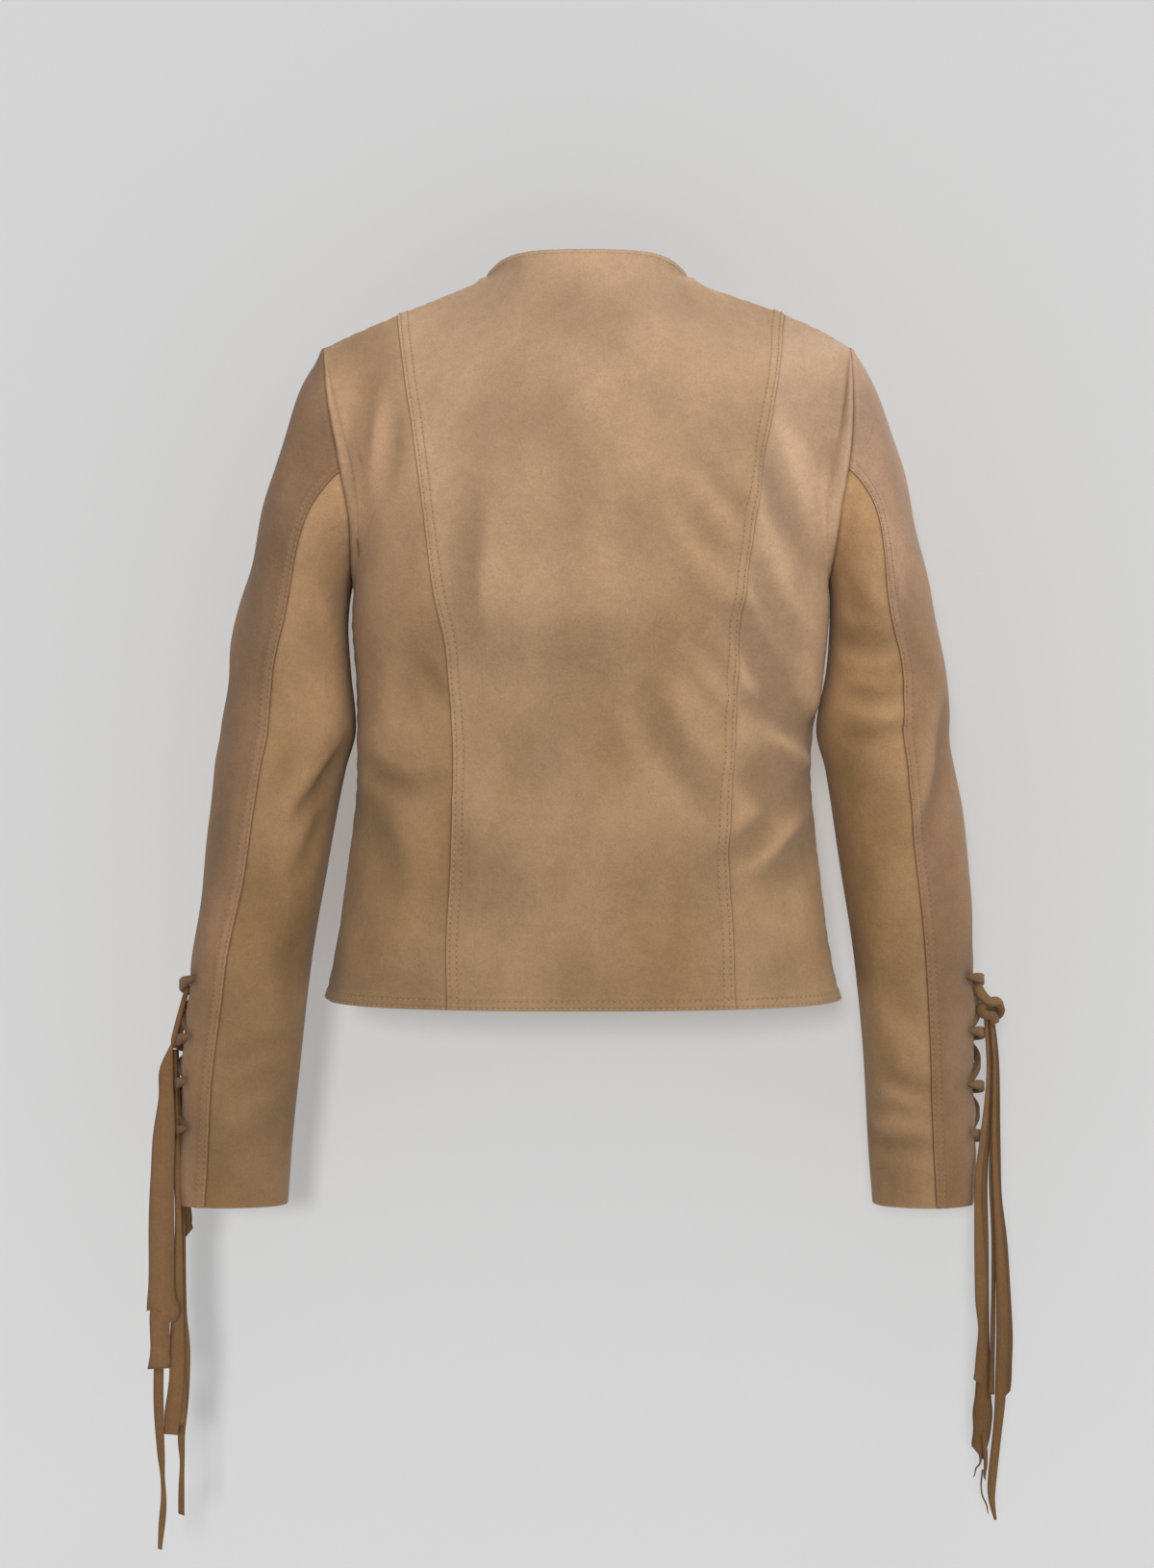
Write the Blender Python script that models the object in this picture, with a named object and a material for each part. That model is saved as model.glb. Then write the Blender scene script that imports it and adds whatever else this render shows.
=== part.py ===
"""Cropped, collarless suede jacket, filled out and hollow, with laced cuffs and cut fringe.

Sizes are in millimetres. The origin is the middle of the neck opening at the height of the
side neck. The back faces -Y, the front faces +Y and the wearer's right is +X.
"""

import math

import bpy
import numpy as np

MM = 0.001

# Cloth
WALL = 1.4
SEAM_GAP = 0.3
FRONT_EDGE = 0.0015
BACK = -1
FRONT = 1
STEP = 0.002

# Body of the jacket: a row for each level
# height, centre, half width, depth behind, depth in front
BODY = (
    (-545, -3.0, 191.0, 100, 105),
    (-520, -3.0, 186.0, 99, 104),
    (-480, -2.5, 178.5, 97, 102),
    (-410, -2.0, 170.0, 90, 97),
    (-367, -2.0, 167.0, 87, 95),
    (-310, 0.5, 170.0, 92, 104),
    (-253, 2.5, 175.5, 104, 117),
    (-228, 3.0, 176.0, 108, 120),
    (-200, 4.0, 177.0, 110, 121),
)
# height, sideways set of the shoulders
SET = ((-228, 3.0), (-185, 5.5), (-140, 5.0), (-90, 2.0), (-55, 0.5), (20, 0.0))
ROUNDNESS = 2.35
HEM_CENTRE = -540.0
HEM_SIDE = -536.0
BUST_LINE = -200.0
BUST_DIP = 65.0

# Neck and shoulder
NECK_HALF = 73.5
NECK_BEHIND = 57.0
NECK_BEFORE = 80.0
NECK_SIDE = -4.0
NECK_RISE = 13.0
NECK_DROP = 82.0
SHOULDER_HALF = 194.0
SHOULDER_DROP = 51.0
SHOULDER_FORWARD = 4.0
LEFT_ARCH = 1.2
RIGHT_ARCH = 4.5
ARCH_SHAPE = 27 / 4  # the curve t * t * (1 - t) times this is 1 at its highest point
NECK_AT = 0.25
SHOULDER_AT = 0.62
# place from centre to side, rise forward and rise upward of the cloth at its top edge
TOP_LEAN = ((0.0, 0.62, 0.78), (0.25, 0.80, 0.60), (0.45, 0.80, 0.60), (0.62, 0.62, 0.78))

# Armhole
ARMHOLE_MIDDLE = -141.5
ARMHOLE_HALF = 86.5
ARMHOLE_BEHIND = 58.0
ARMHOLE_BEFORE = 58.0
ARMHOLE_SCOOP = 8.0
ARM_SOFTNESS = 0.75
# direction of the body's cloth at the armhole, sideways, inwards and upwards: at the shoulder
# point, and the change to its front or back and to its lowest point
ARMHOLE_SIDEWAYS = (0.25, 0.65)
ARMHOLE_INWARDS = (0.6, 0.35)
ARMHOLE_UPWARDS = (0.75, -0.4, 0.2)
# height, half width between the armholes
ARMHOLE = ((-228, 176.0), (-190, 178.0), (-147, 185.0), (-97, 191.5), (-55, 194.0))

# Princess seams behind. They are looked for between these two shares of the half back.
SEAM_BETWEEN = (0.1, 0.9)
SEAM_HALVINGS = 40
# height, left seam, right seam
PRINCESS = (
    (-545, -100.0, 106.0),
    (-500, -100.5, 105.0),
    (-427, -98.5, 102.5),
    (-360, -96.0, 105.5),
    (-285, -101.5, 109.0),
    (-245, -109.0, 113.0),
    (-200, -115.0, 119.0),
    (-150, -121.0, 127.0),
    (-85, -132.0, 138.5),
    (-30, -140.0, 146.0),
)

# Sleeves: height, left middle, left half width, right middle, right half width,
# middle front to back, half depth
SLEEVE = (
    (-694, -263.0, 39.8, 251.5, 37.4, 34, 41),
    (-651, -261.5, 41.6, 249.5, 39.2, 29, 42),
    (-580, -256.0, 43.8, 247.5, 41.6, 20, 45),
    (-509, -248.5, 44.8, 243.0, 44.4, 12, 48),
    (-438, -237.0, 45.6, 234.0, 46.5, 7, 51),
    (-367, -226.0, 48.0, 224.5, 48.0, 4, 55),
    (-338, -220.0, 49.5, 219.5, 49.8, 3, 57),
    (-296, -219.0, 45.0, 220.5, 43.7, 2, 59),
    (-245, -215.0, 38.0, 217.0, 37.0, 1, 61),
    (-225, -213.0, 36.0, 215.0, 35.0, 0, 61),
)
CUFF = -691.0
ARM_LINE = -250.0
ARM_TILT = 20.0
CAP_FULLNESS = 0.6
SLEEVE_ROUND = 48.0
# direction of the sleeve's cloth at the armhole: sideways at its inside, more at the shoulder
# point and more at its front and back, then towards the front and downwards
LEAVE_SIDEWAYS = (0.42, 0.30, 0.36)
LEAVE_FORWARD = 0.15
LEAVE_DOWNWARDS = (-0.85, 0.3)
# clearance from the body at the armpit and lower down the arm, and the heights it changes at
ARMPIT = -228.0
ARMPIT_CLEARANCE = 0.6
ARM_CLEARANCE = 1.6
CLEARANCE_FROM = -229.0
CLEARANCE_TO = -262.0
# the stretch inside the arm that has no creases because the body is close, in turns
NEAR_BODY = (0.38, 0.46, 0.58, 0.66)
# height, left seam, right seam, in turns from the outside of the arm towards the back
BACK_SEAM = (
    (-700, 0.169, 0.221),
    (-560, 0.190, 0.234),
    (-435, 0.211, 0.230),
    (-305, 0.218, 0.217),
    (-250, 0.244, 0.243),
    (-150, 0.270, 0.266),
)
FRONT_SEAM = 0.655

# Cuff vent and its lacing
VENT_TOP = -520.0
VENT_TURN = -0.022
VENT_NARROW = 0.006
VENT_WIDE = 0.020
LACE_WIDTH = 5.0
LACE_THICK = 1.6
LACE_LIFT = 2.0
LACE_BOW = 2.6
LACE_LOOPS = 4
LACE_PITCH = 39.0
LACE_REACH = 0.034
LACE_BELOW = 8.0
LACE_STEPS = 5

# Creases behind and before: face, start x, start z, end x, end z, half width, height
BODY_FOLDS = (
    (BACK, -163, -84, -168, -170, 9, -3.0),
    (BACK, -142, -112, -146, -158, 8, -2.2),
    (BACK, -156, -128, -158, -150, 8, 2.5),
    (BACK, -80, -165, -83, -228, 17, -2.4),
    (BACK, -84, -295, -104, -340, 14, -2.4),
    (BACK, -155, -348, -133, -375, 12, -3.2),
    (BACK, 124, -135, 154, -228, 12, -3.0),
    (BACK, 160, -118, 176, -165, 8, -2.4),
    (BACK, 86, -155, 106, -205, 16, -2.2),
    (BACK, 73, -190, 103, -238, 16, 2.0),
    (BACK, 111, -262, 146, -312, 12, -3.2),
    (BACK, 126, -322, 156, -345, 9, 3.0),
    (BACK, 103, -455, 158, -402, 14, -2.6),
    (FRONT, -60, -150, -100, -205, 16, -2.4),
    (FRONT, 66, -158, 112, -200, 15, -2.6),
    (FRONT, -150, -300, -96, -352, 14, -3.0),
    (FRONT, 152, -318, 88, -366, 13, -2.8),
    (FRONT, -120, -392, -58, -420, 15, 2.2),
    (FRONT, 70, -430, 128, -398, 15, 2.2),
)
# Creases of the sleeves: hand, start turn, start z, end turn, end z, half width, height
SLEEVE_FOLDS = (
    (-1, 0.33, -345, 0.22, -388, 9, -3.6),
    (-1, 0.40, -322, 0.27, -352, 9, 2.6),
    (-1, 0.08, -372, 0.20, -418, 11, -2.2),
    (-1, 0.10, -250, 0.30, -285, 13, -2.4),
    (-1, 0.84, -350, 0.66, -392, 10, -3.2),
    (-1, 0.90, -470, 0.72, -505, 12, -2.0),
    (1, 0.30, -306, 0.20, -302, 9, -3.4),
    (1, 0.38, -345, 0.20, -334, 9, -3.0),
    (1, 0.06, -325, 0.13, -388, 10, -2.8),
    (1, 0.16, -250, 0.33, -278, 13, -2.2),
    (1, 0.84, -340, 0.68, -384, 10, -3.2),
    (1, 0.26, -640, 0.10, -655, 10, -2.2),
    (1, 0.90, -482, 0.74, -520, 12, -2.0),
)

# Fringe strips of each cuff. Rows: x, y, z and width at the knot, then three times further down
KNOT_LEFT = (-309.0, 15.0, -571.0)
KNOT_RIGHT = (299.2, 15.0, -541.0)
KNOT_RADIUS = 8.5
KNOT_SHAPE = (0.75, 1.15, 0.9)
STRIP_THICK = 1.4
STRIP_LEAN = 0.12
STRIPS_LEFT = (
    ((-309, 8, -573, 8), (-314, 4, -653, 18), (-314, 5, -760, 19), (-318, 5, -813, 16)),
    ((-310, 11, -573, 6), (-315, 9, -690, 9), (-317, 11, -820, 8), (-315.5, 14, -944, 3)),
    ((-307, 14, -573, 6), (-307, 14, -680, 12), (-306, 16, -768, 15), (-308, 18, -862, 11)),
    ((-308, 17, -573, 5), (-309, 19, -700, 6), (-303, 21, -830, 6), (-301, 24, -921, 3)),
    ((-311, 20, -573, 5), (-309, 26, -690, 7), (-301, 29, -780, 7), (-300, 31, -855, 6)),
)
STRIPS_RIGHT = (
    ((301, 8, -543, 8), (297, 3, -640, 15), (292, 4, -757, 9), (290, 5, -822, 6)),
    ((300, 11, -543, 7), (302, 9, -650, 12), (295, 11, -780, 9), (290, 13, -880, 5)),
    ((303, 14, -543, 6), (306, 14, -650, 9), (308, 16, -800, 9), (303.5, 19, -925, 2)),
    ((303, 17, -543, 6), (305, 20, -650, 7), (309, 22, -750, 6), (314, 24, -831, 5)),
    ((301, 20, -543, 5), (302, 25, -700, 7), (302, 28, -800, 7), (299.5, 30, -919, 2)),
)

# How finely each piece is divided
ROWS_BELOW = 13
ROWS_ABOVE = 10
CENTRE_COLUMNS = (3, 5, 5, 3)
SIDE_COLUMNS = 2
FRONT_COLUMNS = (4, 3)
ARM_BEHIND = (5, 3)
ARM_BEFORE = (5, 3)
CAP_ROWS = 8
ARM_ROWS = (10, 6)
STRIP_STEPS = 9

SUEDE_BACK = (0.42, 0.28, 0.17)
SUEDE_SLEEVE = (0.36, 0.23, 0.15)
SUEDE_UNDER = (0.30, 0.23, 0.14)
SUEDE_FRINGE = (0.27, 0.17, 0.09)


def eased(table, column, at):
    """One column of a table at the heights asked, on a smooth curve that never overshoots."""
    knots = np.array([row[0] for row in table], float)
    values = np.array([row[column] for row in table], float)
    order = np.argsort(knots)
    knots, values = knots[order], values[order]
    step = np.diff(knots)
    rise = np.diff(values) / step
    slope = np.concatenate(([rise[0]], np.zeros(len(rise) - 1), [rise[-1]]))
    for i in range(1, len(rise)):
        if rise[i - 1] * rise[i] > 0:
            slope[i] = 2 * rise[i - 1] * rise[i] / (rise[i - 1] + rise[i])
    at = np.clip(at, knots[0], knots[-1])
    k = np.clip(np.searchsorted(knots, at) - 1, 0, len(step) - 1)
    t = (at - knots[k]) / step[k]
    return hermite(values[k], values[k + 1], slope[k] * step[k], slope[k + 1] * step[k], t)


def hermite(start, end, leave, arrive, t):
    """A cubic from start to end with the given directions at its ends."""
    square, cube = t * t, t * t * t
    return (
        (2 * cube - 3 * square + 1) * start
        + (cube - 2 * square + t) * leave
        + (3 * square - 2 * cube) * end
        + (cube - square) * arrive
    )


def length_of(vectors):
    return np.sqrt((vectors**2).sum(axis=-1, keepdims=True))


def unit(vectors):
    return vectors / np.maximum(length_of(vectors), 1e-9)


def smoothstep(low, high, at):
    t = np.clip((at - low) / (high - low), 0, 1)
    return t * t * (3 - 2 * t)


def body_ring(face, u, z):
    """A point of the body at height z. u runs from 0 at the centre to 1 or -1 at a side seam."""
    turn = np.abs(u) * math.pi / 2
    across = np.clip(np.sin(turn), 0, 1) ** (2 / ROUNDNESS)
    deep = np.clip(np.cos(turn), 0, 1) ** (2 / ROUNDNESS)
    depth = np.where(face == BACK, eased(BODY, 3, z), eased(BODY, 4, z))
    x = eased(BODY, 1, z) + np.sign(u) * eased(BODY, 2, z) * across
    return np.stack([x, face * depth * deep, z + 0 * x], axis=-1)


def top_edge(face, u):
    """The neck edge, the shoulder seam and the armhole edge, one after another along u."""
    hand = np.where(np.asarray(u) < 0, -1.0, 1.0)
    place = np.abs(u)
    turn = np.clip(place / NECK_AT, 0, 1) * math.pi / 2
    neck_x = NECK_HALF * np.sin(turn)
    neck_y = face * np.where(face == BACK, NECK_BEHIND, NECK_BEFORE) * np.cos(turn)
    rise = NECK_RISE * (1 - np.sin(turn) ** 6)
    drop = -NECK_DROP * np.clip(np.cos(turn), 0, 1) ** 1.4
    neck_z = NECK_SIDE + np.where(face == BACK, rise, drop)
    along = np.clip((place - NECK_AT) / (SHOULDER_AT - NECK_AT), 0, 1)
    ridge_x = NECK_HALF + (SHOULDER_HALF - NECK_HALF) * along
    arch = np.where(hand < 0, LEFT_ARCH, RIGHT_ARCH) * ARCH_SHAPE * along**2 * (1 - along)
    ridge_z = NECK_SIDE - SHOULDER_DROP * along + arch
    round_arm = np.clip((place - SHOULDER_AT) / (1 - SHOULDER_AT), 0, 1) * math.pi
    arm_z = ARMHOLE_MIDDLE + ARMHOLE_HALF * np.cos(round_arm)
    reach = np.where(face == BACK, ARMHOLE_BEHIND, ARMHOLE_BEFORE)
    arm_y = SHOULDER_FORWARD * (1 + np.cos(round_arm)) / 2 + face * reach * np.sin(round_arm)
    scoop = np.where(face == BACK, 0.0, ARMHOLE_SCOOP) * np.sin(round_arm) ** 2
    arm_x = eased(ARMHOLE, 1, arm_z) - scoop
    at_neck, at_ridge = place <= NECK_AT, place <= SHOULDER_AT
    x = np.where(at_neck, neck_x, np.where(at_ridge, ridge_x, arm_x))
    y = np.where(at_neck, neck_y, np.where(at_ridge, SHOULDER_FORWARD * along, arm_y))
    z = np.where(at_neck, neck_z, np.where(at_ridge, ridge_z, arm_z))
    return np.stack([hand * x + eased(SET, 1, z), y, z], axis=-1)


def body(face, u, w):
    """The outer surface of the body. w is 0 at the hem, 1 at the bust line, 2 at the top edge."""
    u, w = np.broadcast_arrays(np.asarray(u, float), np.asarray(w, float))
    line = BUST_LINE - BUST_DIP * u * u
    hem = HEM_CENTRE + (HEM_SIDE - HEM_CENTRE) * u * u
    below = body_ring(face, u, hem + (line - hem) * np.clip(w, 0, 1))
    base = body_ring(face, u, line)
    upward = (body_ring(face, u, line + 1) - body_ring(face, u, line - 1)) / 2
    top = top_edge(face, u)
    span = length_of(top - base)
    chord = unit(top - base)
    forward = -face * eased(TOP_LEAN, 1, np.abs(u))
    arrive = unit(np.stack([chord[..., 0], forward, eased(TOP_LEAN, 2, np.abs(u))], axis=-1))
    hand = np.where(u < 0, -1.0, 1.0)
    round_arm = np.clip((np.abs(u) - SHOULDER_AT) / (1 - SHOULDER_AT), 0, 1) * math.pi
    high, beside = np.cos(round_arm), np.sin(round_arm)
    above, below_middle = np.clip(high, 0, 1), np.clip(-high, 0, 1)
    sideways = ARMHOLE_SIDEWAYS[0] + ARMHOLE_SIDEWAYS[1] * beside
    inwards = ARMHOLE_INWARDS[0] * above + ARMHOLE_INWARDS[1] * beside
    upwards = (
        ARMHOLE_UPWARDS[0] + ARMHOLE_UPWARDS[1] * beside + ARMHOLE_UPWARDS[2] * below_middle
    )
    at_arm = np.stack([hand * sideways, -face * inwards, upwards], axis=-1)
    past_shoulder = (np.abs(u) > SHOULDER_AT)[..., None]
    arrive = np.where(past_shoulder, unit(at_arm) * ARM_SOFTNESS, arrive)
    yoke = hermite(base, top, upward * span, arrive * span, np.clip(w - 1, 0, 1)[..., None])
    return np.where((w <= 1)[..., None], below, yoke)


def princess_u(hand, w):
    """Where a princess seam crosses each row of the back, found by halving."""
    low = np.full_like(w, SEAM_BETWEEN[0])
    high = np.full_like(w, SEAM_BETWEEN[1])
    for _ in range(SEAM_HALVINGS):
        middle = (low + high) / 2
        at = body(BACK, hand * middle, w)
        seam = eased(PRINCESS, 1 if hand < 0 else 2, at[..., 2])
        beyond = hand * (at[..., 0] - seam) > 0
        high = np.where(beyond, middle, high)
        low = np.where(beyond, low, middle)
    return middle


def arm_ring(hand, turn, z):
    """A point of a sleeve at height z, kept just clear of the body."""
    side = 1 if hand < 0 else 3
    x = eased(SLEEVE, side, z) + hand * eased(SLEEVE, side + 1, z) * np.cos(turn)
    y = eased(SLEEVE, 5, z) - eased(SLEEVE, 6, z) * np.sin(turn)
    depth = np.where(y < 0, eased(BODY, 3, z), eased(BODY, 4, z))
    inside = np.clip(1 - np.abs(y / depth) ** ROUNDNESS, 0, 1) ** (1 / ROUNDNESS)
    wall = hand * eased(BODY, 1, z) + eased(BODY, 2, z) * inside
    lower = smoothstep(CLEARANCE_FROM, CLEARANCE_TO, z)
    clearance = ARMPIT_CLEARANCE + (ARM_CLEARANCE - ARMPIT_CLEARANCE) * lower
    x = hand * np.where(z < ARMPIT, np.maximum(hand * x, wall + clearance), hand * x)
    return np.stack([x, y, z + 0 * x], axis=-1)


def sleeve(hand, turns, s):
    """The outer surface of a sleeve. turns: 0 outside, 0.25 behind, 0.5 inside, 0.75 before.
    s is 0 at the armhole, 1 at the arm line and 2 at the cuff."""
    turns, s = np.broadcast_arrays(np.asarray(turns, float), np.asarray(s, float))
    turn = 2 * math.pi * turns
    face = np.where(np.sin(turn) >= 0, BACK, FRONT)
    around = np.arccos(np.clip(np.cos(turn), -1, 1)) / math.pi
    start = top_edge(face, hand * (SHOULDER_AT + (1 - SHOULDER_AT) * around))
    beside = np.sin(turn) ** 2
    sideways = LEAVE_SIDEWAYS[0] + LEAVE_SIDEWAYS[1] * np.cos(turn) + LEAVE_SIDEWAYS[2] * beside
    downwards = LEAVE_DOWNWARDS[0] + LEAVE_DOWNWARDS[1] * beside
    leave = unit(np.stack([hand * sideways, -LEAVE_FORWARD * np.sin(turn), downwards], axis=-1))
    start = start + leave * SEAM_GAP / 2
    line = ARM_LINE + ARM_TILT * np.cos(turn)
    first = arm_ring(hand, turn, line)
    downward = (arm_ring(hand, turn, line - 1) - arm_ring(hand, turn, line + 1)) / 2
    span = length_of(first - start)
    pull = span * (CAP_FULLNESS + (1 - CAP_FULLNESS) * beside)[..., None]
    cap = hermite(start, first, leave * pull, downward * span, np.clip(s, 0, 1)[..., None])
    arm = arm_ring(hand, turn, line + (CUFF - line) * np.clip(s - 1, 0, 1))
    return np.where((s <= 1)[..., None], cap, arm)


def surface_normals(surface, across, along, flip):
    """Unit normals of a smooth surface, the same for two pieces that meet along a seam."""
    near, far = np.clip(along - STEP, 0, 2), np.clip(along + STEP, 0, 2)
    by_across = surface(across + STEP, along) - surface(across - STEP, along)
    by_along = surface(across, far) - surface(across, near)
    return unit(np.cross(by_across, by_along)) * (-1 if flip else 1)


def body_normals(face, u, w):
    """Outward normals of the body, measured just inside the side seams."""
    inside = np.clip(u, -1 + 2 * STEP, 1 - 2 * STEP)
    return surface_normals(lambda a, b: body(face, a, b), inside, w, face == FRONT)


def sleeve_normals(hand, turns, s):
    return surface_normals(lambda a, b: sleeve(hand, a, b), turns, s, hand < 0)


def seam_normals(face, u):
    """Normals shared by the pieces that meet along the shoulder seam and the armhole."""
    hand = np.where(u < 0, -1, 1)
    place = np.clip((np.abs(u) - SHOULDER_AT) / (1 - SHOULDER_AT), 0, 1)
    behind, before = body_normals(BACK, u, 2.0 + 0 * u), body_normals(FRONT, u, 2.0 + 0 * u)
    own = behind if face == BACK else before
    turns = place / 2 if face == BACK else 1 - place / 2
    arm = np.where(
        (hand < 0)[..., None], sleeve_normals(-1, turns, 0 * u), sleeve_normals(1, turns, 0 * u)
    )
    at_ridge = (np.abs(u) <= SHOULDER_AT + STEP)[..., None]
    at_corner = (np.abs(np.abs(u) - SHOULDER_AT) <= STEP)[..., None]
    seam = np.where(at_ridge, behind + before, own + arm)
    seam = np.where(at_corner, behind + before + arm, seam)
    return np.where((np.abs(u) < NECK_AT - STEP)[..., None], own, unit(seam))


def crease(dx, dz, px, pz, half, height):
    """Height of one soft crease at points px, pz measured from its start."""
    long = math.hypot(dx, dz)
    along = np.clip((px * dx + pz * dz) / long**2, 0, 1)
    away = np.hypot(px - along * dx, pz - along * dz)
    return height * np.exp(-((away / half) ** 2))


def body_creases(face, points):
    total = np.zeros(points.shape[:2])
    for where, x0, z0, x1, z1, half, height in BODY_FOLDS:
        if where == face:
            near = (points[..., 0] - x0, points[..., 2] - z0)
            total += crease(x1 - x0, z1 - z0, *near, half, height)
    return total


def sleeve_creases(hand, turns, points):
    total = np.zeros(points.shape[:2])
    around = 2 * math.pi * SLEEVE_ROUND
    for where, t0, z0, t1, z1, half, height in SLEEVE_FOLDS:
        if where == hand:
            off = (turns - t0 + 0.5) % 1.0 - 0.5
            total += crease(
                (t1 - t0) * around, z1 - z0, off * around, points[..., 2] - z0, half, height
            )
    return total


def pull_in(points, side, distance):
    """Move one edge of a grid back into its own surface, to leave a gap at the seam."""
    edge, inner = {
        "first column": (np.s_[:, 0], np.s_[:, 1]),
        "last column": (np.s_[:, -1], np.s_[:, -2]),
        "first row": (np.s_[0], np.s_[1]),
        "last row": (np.s_[-1], np.s_[-2]),
    }[side]
    points[edge] += unit(points[inner] - points[edge]) * distance


def spaced(stops, counts):
    """Evenly spaced values between each pair of stops."""
    values = [stops[0]]
    for start, end, count in zip(stops, stops[1:], counts):
        values += [start + (end - start) * (k + 1) / count for k in range(count)]
    return np.array(values)


def suede(name, colour):
    material = bpy.data.materials.new(name)
    material.use_nodes = True
    shader = material.node_tree.nodes["Principled BSDF"]
    shader.inputs["Base Color"].default_value = (*colour, 1)
    shader.inputs["Roughness"].default_value = 0.95
    shader.inputs["Metallic"].default_value = 0.0
    material.diffuse_color = (*colour, 1)
    return material


def add_object(name, mesh, colour, collection):
    mesh.materials.append(suede(name + "_suede", colour))
    piece = bpy.data.objects.new(name, mesh)
    collection.objects.link(piece)
    return piece


def cloth(name, outer, normals, flip, colour, collection, open_cell=None):
    """One cut piece: a wall between its outer surface and the same surface moved inwards.
    The normals belong to the whole garment, so that neighbours stay apart inside a seam too."""
    rows, columns = outer.shape[:2]
    inner = outer - normals * WALL
    points = np.concatenate([outer.reshape(-1, 3), inner.reshape(-1, 3)]) * MM
    behind = rows * columns
    faces = []
    for row in range(rows - 1):
        for column in range(columns - 1):
            if open_cell and open_cell(row, column):
                continue
            first = row * columns + column
            face = (first, first + 1, first + columns + 1, first + columns)
            faces.append(face[::-1] if flip else face)
    edges = {(face[k], face[(k + 1) % 4]) for face in faces for k in range(4)}
    rim = [(b, a, a + behind, b + behind) for a, b in sorted(edges) if (b, a) not in edges]
    back = [tuple(corner + behind for corner in face[::-1]) for face in faces]
    mesh = bpy.data.meshes.new(name)
    mesh.from_pydata([tuple(point) for point in points], [], faces + back + rim)
    mesh.validate()
    mesh.shade_smooth()
    return add_object(name, mesh, colour, collection)


def body_piece(name, face, u, rows, columns_at_seams, flip, collection):
    """A panel of the body on a grid of places u, a row for each value in rows."""
    w = rows[:, None] + 0 * u
    points = body(face, u, w)
    normals = body_normals(face, u, w)
    normals[-1] = seam_normals(face, u[-1])
    points += normals * body_creases(face, points)[..., None]
    for side in columns_at_seams:
        pull_in(points, side, SEAM_GAP / 2)
    pull_in(points, "last row", SEAM_GAP)
    cloth(name, points, normals, flip, SUEDE_BACK, collection)


def make_back(collection):
    rows = spaced((0, 1, 2), (ROWS_BELOW, ROWS_ABOVE))
    arm = arm_rows()
    left = princess_u(-1, rows)
    right = princess_u(1, rows)
    stops = (-1, -NECK_AT / left[-1], 0, NECK_AT / right[-1], 1)
    columns = spaced(stops, CENTRE_COLUMNS)[None, :]
    u = np.where(columns < 0, columns * left[:, None], columns * right[:, None])
    both = ("first column", "last column")
    body_piece("centre_back", BACK, u, rows, both, False, collection)
    for hand, side, seam in ((-1, "left", left), (1, "right", right)):
        corner = (SHOULDER_AT - seam[-1]) / (1 - seam[-1])
        arm_seam = corner + (1 - corner) * 2 * seam_turns(hand, arm)[0]
        columns = spaced((0, corner, arm_seam, 1), (SIDE_COLUMNS, *ARM_BEHIND))[None, :]
        u = hand * (seam[:, None] + (1 - seam[:, None]) * columns)
        body_piece("side_back_" + side, BACK, u, rows, both, hand < 0, collection)


def make_fronts(collection):
    rows = spaced((0, 1, 2), (ROWS_BELOW, ROWS_ABOVE))
    arm_seam = SHOULDER_AT + (1 - SHOULDER_AT) * 2 * (1 - FRONT_SEAM)
    stops = (FRONT_EDGE, NECK_AT, SHOULDER_AT, arm_seam, 1)
    columns = spaced(stops, (*FRONT_COLUMNS, *ARM_BEFORE))[None, :]
    for hand, side in ((-1, "left"), (1, "right")):
        u = hand * columns + 0 * rows[:, None]
        body_piece("front_" + side, FRONT, u, rows, ("last column",), hand > 0, collection)


def sleeve_piece(name, hand, turns, rows, colour, collection, open_cell=None):
    """A piece of a sleeve on a grid of turns, a row for each value in rows."""
    s = rows[:, None] + 0 * turns
    points = sleeve(hand, turns, s)
    normals = sleeve_normals(hand, turns, s)
    around = (turns[0] + 1) % 1
    place = SHOULDER_AT + (1 - SHOULDER_AT) * 2 * np.minimum(around, 1 - around)
    behind, before = seam_normals(BACK, hand * place), seam_normals(FRONT, hand * place)
    normals[0] = np.where((around <= 0.5)[:, None], behind, before)
    beside = smoothstep(*NEAR_BODY[:2], turns) * smoothstep(*NEAR_BODY[:1:-1], turns)
    lift = sleeve_creases(hand, turns, points) * (1 - beside)
    points += normals * lift[..., None]
    pull_in(points, "first column", SEAM_GAP / 2)
    pull_in(points, "last column", SEAM_GAP / 2)
    pull_in(points, "first row", SEAM_GAP)
    cloth(name, points, normals, hand < 0, colour, collection, open_cell)


def seam_turns(hand, rows):
    """The back sleeve seam at each row, in turns round the arm."""
    heights = sleeve(hand, 0.24, rows)[..., 2]
    return eased(BACK_SEAM, 1 if hand < 0 else 2, heights)


def vent_row(rows):
    start = ARM_LINE + ARM_TILT
    return int(np.argmin(np.abs(rows - 1 - (VENT_TOP - start) / (CUFF - start))))


def arm_rows():
    start = ARM_LINE + ARM_TILT
    vent = 1 + (VENT_TOP - start) / (CUFF - start)
    return spaced((0, 1, vent, 2), (CAP_ROWS, *ARM_ROWS))


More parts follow.
